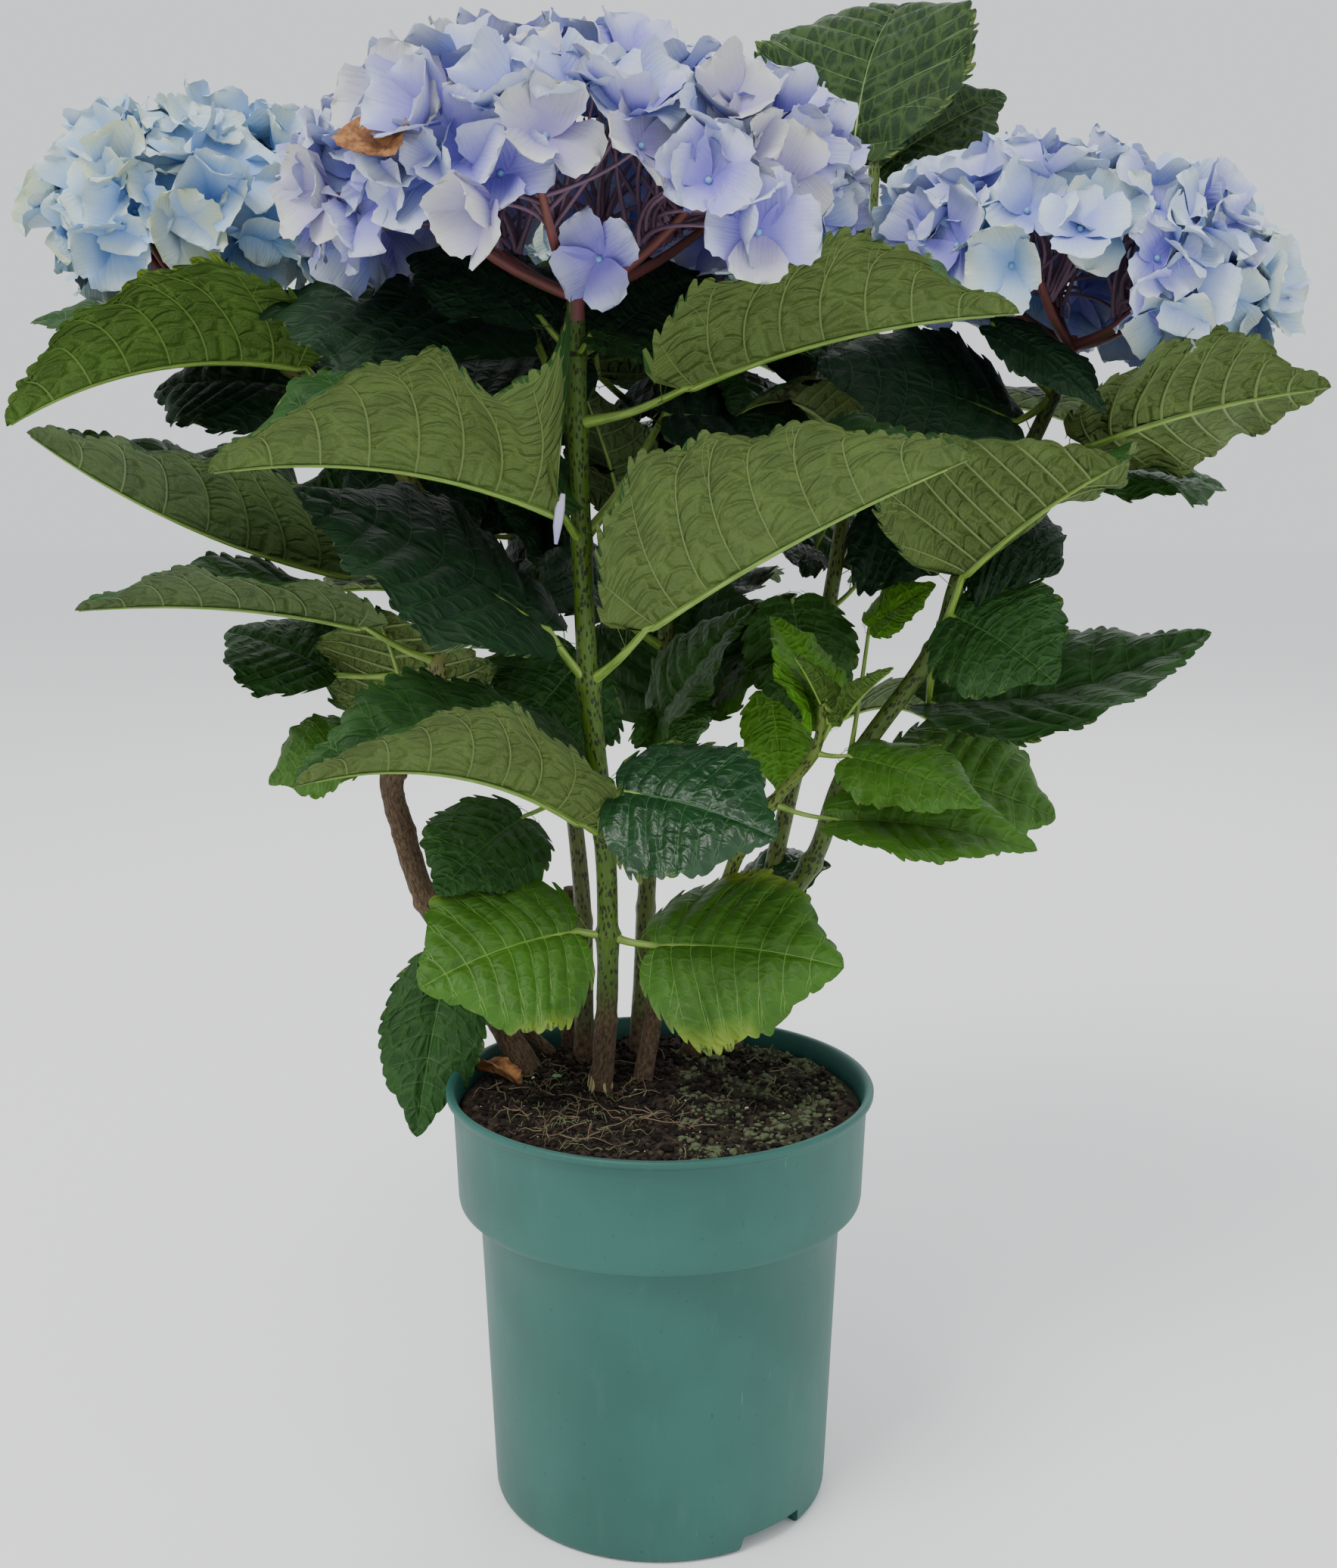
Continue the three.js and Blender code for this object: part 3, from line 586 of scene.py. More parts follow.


# A cane: its nodes; radius at foot and tip; the height up to which it is wood; and its leaves.
# A leaf: its node; petiole turn, rise and length; blade turn, rise and droop; blade length and
# width; fold and roll, and 1 on the leaf whose near half is wavy; and the greens of its upper
# side and underside.
# A leaf whose upper side is deep has painted shade on it, for leaves under the heads and inside the
# crown.
CANES = {
    "front": (
        [(-27, 6, 183), (-24, 5, 217), (-23, 2, 257), (-24, -4, 304), (-30, -12, 371),
         (-32, -20, 431), (-33, -26, 479), (-33, -29, 505), (-33, -30, 519)],
        (5, 3.7), 225,
        [(2, (-156, 13, 15), (-151, 1, 25), (76, 84), (-8, 42), "fresh sage"),
         (2, (-22, -7, 21), (-16, 8, 20), (86, 90), (-14, -44), "fresh sage"),
         (3, (-130, 25, 14), (-159, 37, 50), (130, 92), (48, 8), "full sage"),
         (3, (-72, 50, 30), (-24, -1, 20), (74, 74), (-8, -40), "blue sage"),
         (4, (-143, 50, 31), (-173, 37, 14), (118, 96), (-4, 26), "deep shade"),
         (4, (-36, 39, 39), (-24, 34, 12), (153, 116), (52, 0), "full sage"),
         (5, (-114, 34, 19), (-163, 25, 34), (143, 124), (41, 0, 1), "full sage"),
         (5, (40, 49, 68), (12, 2, 22), (78, 88), (-6, -26), "deep shade"),
         (6, (-29, 15, 51), (-18, 23, 22), (133, 86), (44, 0), "full sage"),
         (6, (133, 53, 50), (167, 16, 24), (124, 106), (-6, 27), "deep shade"),
         (7, (-176, 47, 21), (158, 38, 30), (66, 60), (0, 26), "deep shade"),
         (7, (-63, 32, 15), (-22, -12, 20), (35, 24), (0, -20), "full sage"),
         (7, (55, 23, 23), (38, 36, 24), (64, 62), (-6, -36), "deep shade")],
    ),
    "left": (
        [(-62, 34, 183), (-84, 40, 222), (-108, 45, 262), (-118, 45, 294), (-121, 40, 323),
         (-99, 35, 350), (-97, 30, 374), (-89, 30, 400), (-96, 36, 430), (-126, 48, 471),
         (-165, 56, 503), (-198, 60, 525)],
        (6, 3), 330,
        [(4, (-159, 50, 17), (-172, -5, 30), (49, 52), (0, 30), "fresh sage"),
         (6, (-166, 27, 37), (-168, 15, 20), (123, 70), (28, 0), "full shade"),
         (4, (26, 66, 23), (-120, 77, 20), (60, 98), (0, 0), "full sage"),
         (6, (150, -9, 60), (160, 27, 20), (62, 70), (0, 20), "full shade"),
         (9, (-150, 45, 44), (-161, 11, 44), (130, 88), (40, -12), "fresh lit"),
         (9, (157, 31, 42), (161, 15, 30), (80, 84), (0, 34), "deep shade"),
         (10, (134, 18, 40), (176, 17, 24), (100, 72), (0, 24), "full shade"),
         (8, (-171, -25, 42), (-172, 12, -26), (151, 118), (34, 0), "full shade")],
    ),
    "right": (
        [(14, 56, 183), (36, 45, 231), (69, 38, 281), (84, 32, 324), (121, 28, 380),
         (131, 25, 411), (152, 25, 452), (170, 29, 490), (175, 30, 505)],
        (4.8, 3), 200,
        [(3, (34, -5, 32), (2, -5, 24), (77, 76), (0, -44), "fresh sage"),
         (4, (-71, 54, 43), (-53, 39, 16), (97, 134), (24, 8), "full sage"),
         (4, (-68, 48, 23), (-37, -17, 20), (56, 66), (0, -40), "full sage"),
         (4, (88, -57, 31), (-3, -2, -34), (131, 78), (10, -26), "full sage"),
         (7, (-157, -31, 21), (-168, 25, 22), (93, 92), (-8, 42), "deep shade"),
         (7, (-142, 36, 50), (-28, -21, 30), (63, 32), (-10, -30), "deep shade"),
         (6, (-21, 29, 36), (-10, 22, 16), (102, 92), (4, 34), "full sage"),
         (6, (39, 8, 43), (11, 3, 20), (75, 70), (0, -20), "full shade"),
         (5, (59, 41, 29), (-23, -9, 30), (40, 80), (-10, -30), "deep shade"),
         (3, (12, 82, 66), (-8, 42, 14), (35, 34), (0, -30), "young lit")],
    ),
    "side": (
        [(-8, 20, 183), (3, 26, 233), (26, 28, 265), (36, 25, 290), (50, 22, 312),
         (68, 16, 336), (71, 12, 358)],
        (4, 2), 250,
        [(5, (-16, 61, 15), (-155, 70, 20), (38, 26), (20, 0), "young lit"),
         (6, (-13, -31, 10), (-26, 56, 20), (33, 26), (20, 0), "young lit"),
         (5, (63, 59, 13), (139, 69, 20), (55, 44), (10, 0), "young lit"),
         (5, (-24, -1, 16), (-28, -3, 24), (64, 50), (-8, -24), "fresh sage"),
         (4, (-16, -11, 29), (-8, 3, 20), (90, 50), (10, -34), "fresh sage")],
    ),
    "low": (
        [(-52, 56, 183), (-72, 62, 200), (-92, 58, 214), (-104, 42, 224)],
        (3.2, 2.2), 200,
        [(3, (-52, 50, 20), (-118, -62, 14), (84, 46), (0, 30), "full sage")],
    ),
    "back": (
        [(-10, 60, 183), (-7, 72, 251), (-3, 86, 310), (2, 102, 372), (4, 118, 430),
         (2, 132, 480), (0, 144, 508)],
        (4.6, 3), 200,
        [(2, (-59, 86, 31), (53, 62, 16), (84, 90), (10, 0), "full sage"),
         (2, (-13, 53, 44), (18, 59, 16), (70, 70), (8, -10), "fresh sage"),
         (4, (-93, 56, 50), (-42, -18, 24), (87, 88), (-6, -46), "deep shade"),
         (5, (-98, -14, 37), (-25, -2, 22), (80, 86), (-6, -50), "deep shade"),
         (3, (-141, 34, 42), (-154, 54, 20), (80, 78), (-4, 38), "deep shade"),
         (2, (-89, 41, 47), (-8, 59, 14), (73, 62), (6, -24), "mid sage"),
         (6, (-139, -35, 59), (-151, 58, 20), (63, 66), (-6, 40), "deep shade"),
         (6, (-128, -36, 51), (-36, 37, 20), (54, 60), (-6, -40), "deep shade"),
         (5, (-122, 19, 60), (-113, 77, 10), (64, 92), (0, 0), "deep shade"),
         (2, (-85, 57, 48), (-29, -45, 12), (26, 50), (0, -20), "mid sage"),
         (4, (-115, 10, 50), (-130, 72, 16), (66, 56), (0, 0), "deep shade")]
        + fan(11, [(3, 75, 115), (4, 105, 110), (5, 60, 100), (5, 120, 90), (4, 215, 82),
                   (5, -60, 110)]),
    ),
    "back_left": (
        [(-36, 46, 183), (-36, 52, 250), (-42, 66, 310), (-52, 84, 370), (-60, 100, 425),
         (-64, 110, 470)],
        (4.4, 2.6), 200,
        [(3, (-64, 5, 38), (-142, -36, 20), (66, 72), (-6, 40), "full sage"),
         (2, (-133, -16, 31), (-122, -10, 20), (68, 56), (-6, 30), "full sage"),
         (4, (-144, 54, 57), (-160, -13, 24), (65, 88), (-6, 46), "deep shade"),
         (3, (-147, 31, 30), (-139, 70, 14), (46, 60), (0, 24), "deep shade"),
         (4, (-130, 57, 38), (-32, -42, 16), (41, 60), (0, -30), "deep shade"),
         (4, (-58, 43, 26), (-147, -55, 14), (54, 70), (0, -10), "deep shade"),
         (5, (-58, 30, 72), (176, 6, 20), (88, 84), (0, 44), "deep shade"),
         (4, (175, 8, 60), (178, 20, 16), (60, 50), (0, 50), "full shade")]
        + fan(23, [(2, 135, 90), (3, 160, 110), (4, 135, 115), (5, 165, 100)]),
    ),
    "back_right": (
        [(34, 70, 183), (50, 82, 250), (66, 92, 320), (80, 100, 390), (90, 106, 460),
         (96, 108, 530), (99, 107, 600)],
        (4.8, 2.6), 205,
        [(6, (153, 11, 11), (66, 77, 60), (109, 104), (8, 0), "netted sage"),
         (6, (77, -25, 12), (27, 35, 14), (82, 52), (8, -50), "netted sage"),
         (2, (-149, 64, 36), (-69, -67, 10), (49, 36), (0, 0), "young lit"),
         (1, (-150, 40, 16), (2, 24, 20), (44, 38), (0, -24), "blue sage"),
         (4, (-81, -25, 40), (-23, -20, 20), (54, 80), (-6, -46), "deep shade"),
         (3, (-124, 13, 35), (-67, -63, 20), (59, 52), (0, -16), "mid sage"),
         (4, (-129, -54, 48), (-152, 19, 14), (39, 56), (0, 30), "deep shade"),
         (5, (-100, -20, 45), (-165, 5, 20), (60, 60), (0, 40), "deep shade")]
        + fan(37, [(2, 45, 95), (3, 70, 115), (4, 25, 120), (5, 50, 105), (3, -10, 80),
                   (4, -120, 100)]),
    ),
}
STUB = ([(-42, 68, 183), (-43, 68, 225), (-42, 67, 262)], (5.2, 4), 300, [])


def add_cane(sheaf, cane, seed):
    """The whole cane from the soil to its tip: swollen nodes, faint ribs, and flaking wood."""
    nodes, (foot, tip), wood_top, _ = cane
    rough = np.random.default_rng(seed)
    last = len(nodes) - 1
    coarse = point_along(nodes, np.linspace(0, last, 40 * last + 1))
    length = np.linalg.norm(np.diff(coarse, axis=0), axis=1).sum()
    at = np.linspace(0, last, int(length / RING_STEP))
    centres = point_along(nodes, at)
    centres[0, 2] = SOIL_LEVEL - 1.5
    radius = foot + (tip - foot) * at / last
    radius = radius * (1 + (FOOT_FLARE - 1) * np.clip(1 - at * 2, 0, 1))
    per_node = length / last
    away = (at - np.round(at)) * per_node
    inner = (np.round(at) > 0) & (np.round(at) < last)
    turns = np.arange(CANE_SIDES) * math.tau / CANE_SIDES
    facing = np.abs(np.cos(turns[None, :] - np.round(at)[:, None] * math.pi / 2))
    swell = NODE_SWELL * np.exp(-((away / NODE_REACH) ** 2))
    swell = swell + SCAR_SWELL * np.exp(-(((away + SCAR_REACH) / SCAR_REACH) ** 2))
    swell = (swell * inner)[:, None] * (0.55 + 0.75 * facing ** 2)
    ribs = RIB_DEPTH * np.cos(turns * RIB_COUNT + 0.8)[None, :] * np.ones(len(at))[:, None]
    woody = np.clip((wood_top + WOOD_BLEND / 2 - centres[:, 2]) / WOOD_BLEND, 0, 1)[:, None]
    bumps = rough.random((len(at) // 4 + 3, CANE_SIDES)) - 0.5
    rows = np.arange(len(at)) / 4
    low = rows.astype(int)
    part = (rows - low)[:, None]
    flakes = bumps[low] * (1 - part) + bumps[low + 1] * part
    off_ring = (centres[:, 2] + 2.2 * np.sin(at * 9)) % BARK_RING_GAP - 5
    rings = BARK_RING_DEPTH * np.exp(-((off_ring / BARK_RING_REACH) ** 2))
    bark = 1 + swell + ribs + woody * (FLAKE_DEPTH * flakes + rings[:, None])
    add_tube(sheaf, centres, radius[:, None] * bark, CANE_SIDES)


def bark_paint(name, wood_top, green, dark_wood=False):
    """Green rind with long dark pores, turning to flaking brown wood below wood_top."""
    paint = Paint(name, green, 0.55, Specular_IOR_Level=0.35)
    streak = paint.noise(paint.where((0.12, 1, 1), "grain"), 1.0, 4.0, 0.6)
    pores = paint.cells(paint.where((0.3, 0.75, 1), "grain"), 1.0)
    fleck = 1 - pores.ramp(0.31, 0.4)
    fleck = fleck * paint.noise(paint.where((0.15, 0.3, 1), "grain"), 1.0).ramp(0.28, 0.42)
    shaded = [value * 0.68 for value in green[:3]] + [1]
    rind = paint.blend(streak.ramp(0.3, 0.7), green, shaded)
    rind = paint.blend(fleck * 0.9, rind, tint(30, 26, 22))
    dark, pale = tint(56, 44, 34), tint(108, 88, 64)
    if dark_wood:
        dark, pale = tint(46, 36, 28), tint(94, 76, 56)
    flake = paint.noise(paint.where((0.35, 1, 1), "grain"), 0.9, 6.0, 0.7)
    wood = paint.blend(flake.ramp(0.35, 0.65), dark, pale)
    border = paint.part(2) + 0.02 * flake
    change = border.ramp((wood_top - 2) * METRE, (wood_top + 24) * METRE)
    paint.set("Base Color", paint.blend(change, wood, rind))
    paint.set("Roughness", 0.82 - 0.32 * change)
    paint.relief(flake * (1 - change) * 2.0 + streak * 0.4 + fleck * 0.5, 0.0006)
    return paint


RINDS = {
    "front": tint(72, 102, 24), "left": tint(106, 108, 52), "right": tint(78, 101, 34),
    "side": tint(96, 118, 40), "low": tint(90, 110, 42), "back": tint(92, 107, 48),
    "back_left": tint(87, 96, 49), "back_right": tint(94, 113, 48),
}
for number, (name, cane) in enumerate(CANES.items()):
    stem = Sheaf()
    add_cane(stem, cane, 50 + number)
    _, _, wood_top, _ = cane
    paint = bark_paint(f"rind_{name}", wood_top, RINDS[name])
    slot_name = "woody_stem" if name == "left" else "green_stem"
    make_piece(f"cane_{name}", stem, [paint], [f"stem_{name}"])
stem = Sheaf()
add_cane(stem, STUB, 70)
paint = bark_paint("stub_wood", STUB[2], tint(70, 56, 40), dark_wood=True)
make_piece("cane_stub", stem, [paint], ["stem_stub"])

# ---------------------------------------------------------------------------------------------
# Leaves. Broad toothed blades on stout petioles, quilted between their veins. The upper side is
# satin green, the underside matt and paler with raised veins. Each grows from its cane's node.
BASE_FULLNESS, TIP_FULLNESS = 0.6, 0.85
LOBE_SHARE = 0.09
MIDRIB_STEPS = 40
BLADE_HALF = 0.22
ARCH_SHARE = 0.42
QUILT_DEPTH = 0.023
SLOW_RIPPLE, QUICK_RIPPLE = 0.09, 0.035
TOOTH_PITCH, TOOTH_REACH = 5.8, 2.1
# Side veins: where they start along the midrib, and how they sweep towards the tip.
VEIN_STARTS = np.array([0.03, 0.11, 0.21, 0.32, 0.44, 0.57, 0.70, 0.83])
VEIN_SWEEP, VEIN_CURVE, BASAL_SHARE = 0.3, 1.5, 0.18
COUNT_STARTS = np.concatenate([[-0.5], VEIN_STARTS, [0.93, 1.02]])
# On the wavy leaf: how much steeper the near half stands along the midrib, in degrees, and how its
# lobe by the stalk is drawn out and leans forward.
WAVE_SWING = ((0.0, 0.05, 0.1, 0.15, 0.21, 0.28, 1.0), (18, 18, 2, -14, -10, -2, 0))
WAVE_LOBE, WAVE_LEAN, WAVE_REACH = 1.7, 0.29, 0.07
# Where the blade's mesh is divided between the midrib and the margin.
COLUMNS = np.array([0, 0.06, 0.15, 0.28, 0.42, 0.57, 0.72, 0.86, 0.95, 1.0])
ACROSS = np.concatenate([-COLUMNS[:0:-1], COLUMNS])
PETIOLE_RADII = ((0, 0.12, 0.3, 1), (3.0, 2.6, 1.9, 1.5))
MIDRIB_RADII = ((0.03, 0.3, 0.93), (1.5, 1.15, 0.4))
BUD_RISE, BUD_REACH, BUD_SIZE = 62, 4.2, (1.7, 1.7, 3.4)
# The blade's width from which its veins and petiole are full grown; how high the veins stand above
# and below; and where two forks leave a side vein and how far they lean back.
FULL_GROWN = 80
UPPER_VEIN, UNDER_VEIN = 0.34, 0.95
FORKS = ((0.5, 0.04), (0.72, 0.025))


def outline(share):
    """Half the width of a blade, as a share of its widest place, from base to tip."""
    widest = BASE_FULLNESS / (BASE_FULLNESS + TIP_FULLNESS)
    full = widest ** BASE_FULLNESS * (1 - widest) ** TIP_FULLNESS
    plain = share ** BASE_FULLNESS * (1 - share) ** TIP_FULLNESS / full
    drawn_out = np.clip((share - 0.74) / 0.26, 0, 1)
    return plain * (1 - 0.3 * np.sin(math.pi * drawn_out))


def vein_line(start, out):
    """How far along the midrib a side vein has come when it is a share out to the margin."""
    sweep = VEIN_SWEEP * np.minimum(1, start / BASAL_SHARE)
    return start + (1 - start) * sweep * out ** VEIN_CURVE


class Blade:
    """A leaf's blade as a surface, read by where its side veins start and how far out they are."""

    def __init__(self, root, row, seed):
        _, (stalk_turn, stalk_rise, stalk_length), shape, (self.length, self.width), form, _ = row
        self.turn, self.rise, self.droop = shape
        self.fold, self.roll = (math.radians(angle) for angle in form[:2])
        self.wavy = len(form) > 2
        self.root = root
        self.base = root + heading(stalk_turn, stalk_rise) * stalk_length
        pitch = self.rise - self.droop * (np.arange(MIDRIB_STEPS) + 0.5) / MIDRIB_STEPS
        steps = heading(self.turn, pitch) * (self.length / MIDRIB_STEPS)
        self.spine = self.base + np.concatenate([np.zeros((1, 3)), np.cumsum(steps, axis=0)])
        self.waves = np.random.default_rng(seed).random(6)

    def at(self, start, across):
        """Points of the blade's middle layer, and the directions out of its upper side."""
        start, across = np.broadcast_arrays(np.asarray(start, float), np.asarray(across, float))
        out = np.abs(across)
        inner = np.minimum(out, 1)
        share = vein_line(start, inner)
        step = share * MIDRIB_STEPS
        marks = np.arange(MIDRIB_STEPS + 1)
        centre = np.stack([np.interp(step, marks, places) for places in self.spine.T], axis=-1)
        pitch = self.rise - self.droop * share
        forward = heading(self.turn, pitch)
        top = heading(self.turn, pitch + 90)
        flat = np.array([math.sin(math.radians(self.turn)), -math.cos(math.radians(self.turn)), 0])
        side = flat * math.cos(self.roll) + top * math.sin(self.roll)
        normal = np.cross(side, forward)
        wavy = (across < 0) * self.wavy
        lobe = wavy * np.exp(-((start / WAVE_REACH) ** 2))
        half = self.width / 2 * outline(np.clip(share, 1e-6, 1 - 1e-6)) * (1 + WAVE_LOBE * lobe)
        arch = ARCH_SHARE * half * (inner - inner ** 2)
        back = -LOBE_SHARE * self.length * (1 - share) ** 4 * out
        back = back + WAVE_LEAN * self.length * lobe * out
        fold = self.fold + wavy * np.radians(np.interp(start, *WAVE_SWING))
        lift = half * out * np.sin(fold) + arch * (0.35 + abs(math.sin(self.fold)))
        lift = lift + self.quilt(start, inner, half)
        lift = lift + self.ripple(share, out, across < 0, half)
        reach = half * across * np.cos(fold)
        point = centre + side * reach[..., None] + normal * lift[..., None]
        return point + forward * back[..., None], normal

    def count(self, start):
        """How many side veins have been passed; a whole number lies on a vein."""
        return np.interp(start, COUNT_STARTS, np.arange(len(COUNT_STARTS)) - 1.0)

    def quilt(self, start, out, half):
        """The blade is sunk along its veins and pillowed between them."""
        pillow = np.abs(np.sin(math.pi * self.count(start))) ** 0.8
        fade = np.clip(out / 0.14, 0, 1) * (1 - 0.7 * out ** 5) * np.clip(half / 20, 0, 1)
        groove = 0.9 * np.exp(-((out * half / 2.4) ** 2))
        return QUILT_DEPTH * self.width * pillow * fade - groove

    def ripple(self, share, out, on_left, half):
        """The margins lift and dip a little, each side its own way."""
        start = np.where(on_left, self.waves[0], self.waves[1]) * math.tau
        turns = np.where(on_left, 1.2 + self.waves[2], 1.2 + self.waves[3])
        slow = SLOW_RIPPLE * out ** 2.5 * np.sin(start + turns * math.tau * share)
        quick = QUICK_RIPPLE * out ** 3 * np.sin(start * 3 + 5.6 * math.tau * share)
        return half * (slow + quick)


def add_blade(sheaf, blade, upper, under):
    """Two thin layers that meet along the toothed margin, with a row of points on each vein."""
    teeth = max(9, int(round(blade.length / TOOTH_PITCH)))
    parts = np.array([0.0, 0.34, 0.66, 0.88])
    shares = ((np.arange(teeth)[:, None] + parts) / teeth).ravel()[1:]
    swing = 0.65 + 0.7 * np.abs(np.sin(np.arange(teeth) * 2.4 + blade.waves[4] * 9))
    tooth = (np.array([0.0, 0.66, 1.0, 0.85]) * swing[:, None]).ravel()[1:]
    fine = np.linspace(0, 1, 400)
    starts = np.interp(shares, vein_line(fine, 1.0), fine)
    for vein in VEIN_STARTS:
        starts[np.argmin(np.abs(starts - vein))] = vein
    start = starts[:, None] * np.ones(len(ACROSS))
    half = blade.width / 2 * outline(vein_line(start, np.abs(ACROSS)))
    reach = TOOTH_REACH * np.clip(blade.width / 70, 0.4, 1.1) * np.clip(half / 12, 0, 1)
    edge = (np.abs(ACROSS) == 1) * tooth[:, None]
    across = ACROSS * (1 + edge * reach / np.maximum(half, 1))
    start = np.minimum(start + 0.3 * edge * reach / blade.length, 0.998)
    middle, normal = blade.at(start, across)
    thin = BLADE_HALF * np.clip((1 - np.abs(ACROSS)) * 12, 0, 1)[:, None]
    above = sheaf.add_points(middle + normal * thin).reshape(start.shape)
    below = sheaf.add_points(middle - normal * thin).reshape(start.shape)
    below[:, 0], below[:, -1] = above[:, 0], above[:, -1]
    out = np.abs(across)
    along = vein_line(start, np.minimum(out, 1)) * blade.length
    grain = np.stack([along, across * half, blade.count(start), out * half], axis=-1)
    sheaf.add_grid(above[:, ::-1], grain[:, ::-1], upper)
    sheaf.add_grid(below, grain, under)
    for row, place, flip in ((0, 0.0, 1), (-1, 1.0, -1)):
        tip, _ = blade.at(np.array([place]), np.array([0.0]))
        hub = sheaf.add_points(tip)[0]
        sheaf.add_fan(hub, above[row][::flip], grain[row][::flip], upper)
        sheaf.add_fan(hub, below[row][::-flip], grain[row][::-flip], under)


def add_rib(sheaf, blade, shares, across, width, height, finish, side):
    """A low ridge along a line on one face of the blade; side is 1 above and -1 below."""
    line, normal = blade.at(shares, across)
    along = np.gradient(line, axis=0)
    along = along / np.maximum(np.linalg.norm(along, axis=1), 1e-6)[:, None]
    aside = np.cross(along, normal)
    face = line + side * normal * (BLADE_HALF - 0.1)
    left = face - aside * width[:, None]
    right = face + aside * width[:, None]
    crest = face + side * normal * (height[:, None] + 0.1)
    points = np.stack([left, crest, right], axis=1)
    index = sheaf.add_points(points).reshape(len(line), 3)
    if side < 0:
        index = index[:, ::-1]
    sheaf.add_grid(index, np.zeros(index.shape + (2,)), finish)


def add_veins(sheaf, blade, upper, under):
    """The midrib, the side veins and two small forks on each, on both faces of the blade."""
    scale = min(1, blade.width / FULL_GROWN)
    for side, finish in ((1, upper), (-1, under)):
        raised = UPPER_VEIN if side > 0 else UNDER_VEIN
        steps = np.linspace(0.012, 0.985, 36)
        width = (1.5 - 1.25 * steps) * scale * (0.9 if side > 0 else 1.15)
        add_rib(sheaf, blade, steps, steps * 0, width, raised * (1.6 - steps) * scale, finish, side)
        for hand in (-1, 1):
            for start in VEIN_STARTS:
                out = np.linspace(0.0, 0.93, 13)
                width = (0.8 - 0.6 * out) * scale * (0.5 if side > 0 else 1.1)
                tall = raised * (0.75 - 0.5 * out) * scale
                add_rib(sheaf, blade, np.full(13, start), hand * out, width, tall, finish, side)
                for fork, lean in FORKS:
                    more = np.linspace(0, 1, 6)
                    reach = fork + (0.95 - fork) * more
                    thin = (0.3 - 0.16 * more) * scale * (0.8 if side > 0 else 1.1)
                    low = raised * 0.3 * (1 - 0.6 * more) * scale
                    add_rib(sheaf, blade, start - lean * more, hand * reach, thin, low, finish, side)


def add_petiole(sheaf, blade):
    """The stalk from the cane's node, running on under the blade as its midrib."""
    steps = np.linspace(0, 1, 9)[:, None]
    sag = np.array([0, 0, -0.05]) * np.linalg.norm(blade.base - blade.root)
    stalk = blade.root + (blade.base - blade.root) * steps + sag * np.sin(math.pi * steps)
    shares = np.linspace(0.03, 0.93, 17)
    middle, normal = blade.at(shares, shares * 0)
    run = middle - normal * 0.6
    line = np.concatenate([stalk, run])
    scale = min(1.0, max(0.6, blade.width / FULL_GROWN))
    radius = np.concatenate([
        np.interp(steps[:, 0], *PETIOLE_RADII), np.interp(shares, *MIDRIB_RADII),
    ]) * scale
    add_tube(sheaf, line, radius, 9)


def leaf_paint(name, colour, net, gloss, sheen, net_share, pucker_depth, edge=None):
    """A leaf's face with a net of small veins, puckered between them and the side veins.

    The depth is in metres, and below zero where the net stands up; edge is a margin that yellows.
    """
    paint = Paint(name, colour, gloss, Specular_IOR_Level=sheen)
    pucker = paint.cells(paint.where((1.25, 0.2, 1), "quilt"), 1.0, "DISTANCE_TO_EDGE")
    pucker = pucker.ramp(0.0, 0.24)
    fine = paint.cells(paint.where((5.2, 0.6, 1), "quilt"), 1.0, "DISTANCE_TO_EDGE")
    fine = fine.ramp(0.0, 0.2)
    bank = abs((paint.part(0, "quilt") * math.pi).sine()).ramp(0.0, 0.5)
    cloud = paint.noise(paint.where((1, 1, 1), "grain"), 0.045, 3.0)
    dark = [value * 0.78 for value in colour[:3]] + [1]
    mottled = paint.blend(cloud.ramp(0.35, 0.65), dark, colour)
    surface = paint.blend((1 - pucker) * net_share + (1 - fine) * 0.08, mottled, net)
    if edge:
        far = paint.part(1, "quilt") + 14.0 * (cloud - 0.5)
        surface = paint.blend(far.ramp(33.0, 45.0) * 0.5, surface, edge)
    paint.set("Base Color", surface)
    paint.set("Roughness", gloss + 0.12 * cloud)
    side = math.copysign(1.0, pucker_depth)
    paint.relief((pucker + bank * 0.6 + fine * 0.14) * side, abs(pucker_depth))
    return paint


# Each face: its colour, the colour of its net, roughness, specular level, how much the net shows,
# depth of the pucker, and the yellow of its margin.
UPPERS = {
    # The deep upper side is painted shade: a darker green for leaves that lie in the shade of the
    # flower heads and of the leaves above them.
    "deep": (tint(15, 42, 19), tint(27, 60, 28), 0.52, 0.22, 0.3, 0.0006),
    "full": (tint(32, 68, 24), tint(50, 90, 34), 0.48, 0.22, 0.3, 0.0006),
    "fresh": (tint(54, 95, 24), tint(82, 121, 38), 0.42, 0.22, 0.16, 0.0003, tint(142, 158, 56)),
    "young": (tint(78, 132, 28), tint(108, 156, 46), 0.42, 0.22, 0.3, 0.0006),
    "blue": (tint(20, 56, 27), tint(40, 78, 40), 0.28, 0.38, 0.3, 0.0003),
    "mid": (tint(43, 84, 26), tint(63, 104, 38), 0.4, 0.22, 0.3, 0.0006),
    "netted": (tint(24, 49, 22), tint(78, 104, 50), 0.6, 0.22, 0.3, 0.0006),
}
UNDERS = {
    "sage": (tint(83, 103, 47), tint(95, 115, 54), 0.6, 0.3, 0.22, -0.0014),
    "shade": (tint(70, 91, 46), tint(82, 103, 53), 0.6, 0.3, 0.22, -0.0014),
    "lit": (tint(70, 101, 32), tint(92, 124, 45), 0.6, 0.3, 0.22, -0.0014),
}
leaf_paints = [leaf_paint(f"leaf_{name}", *face) for name, face in UPPERS.items()]
leaf_paints += [leaf_paint(f"underleaf_{name}", *face) for name, face in UNDERS.items()]
vein_paints = [
    Paint(f"vein_{name}", [value * 1.15 for value in net[:3]] + [1], 0.5)
    for name, (_, net, *_) in UPPERS.items()
]
vein_paints += [Paint(f"vein_under_{name}", net, 0.55) for name, (_, net, *_) in UNDERS.items()]
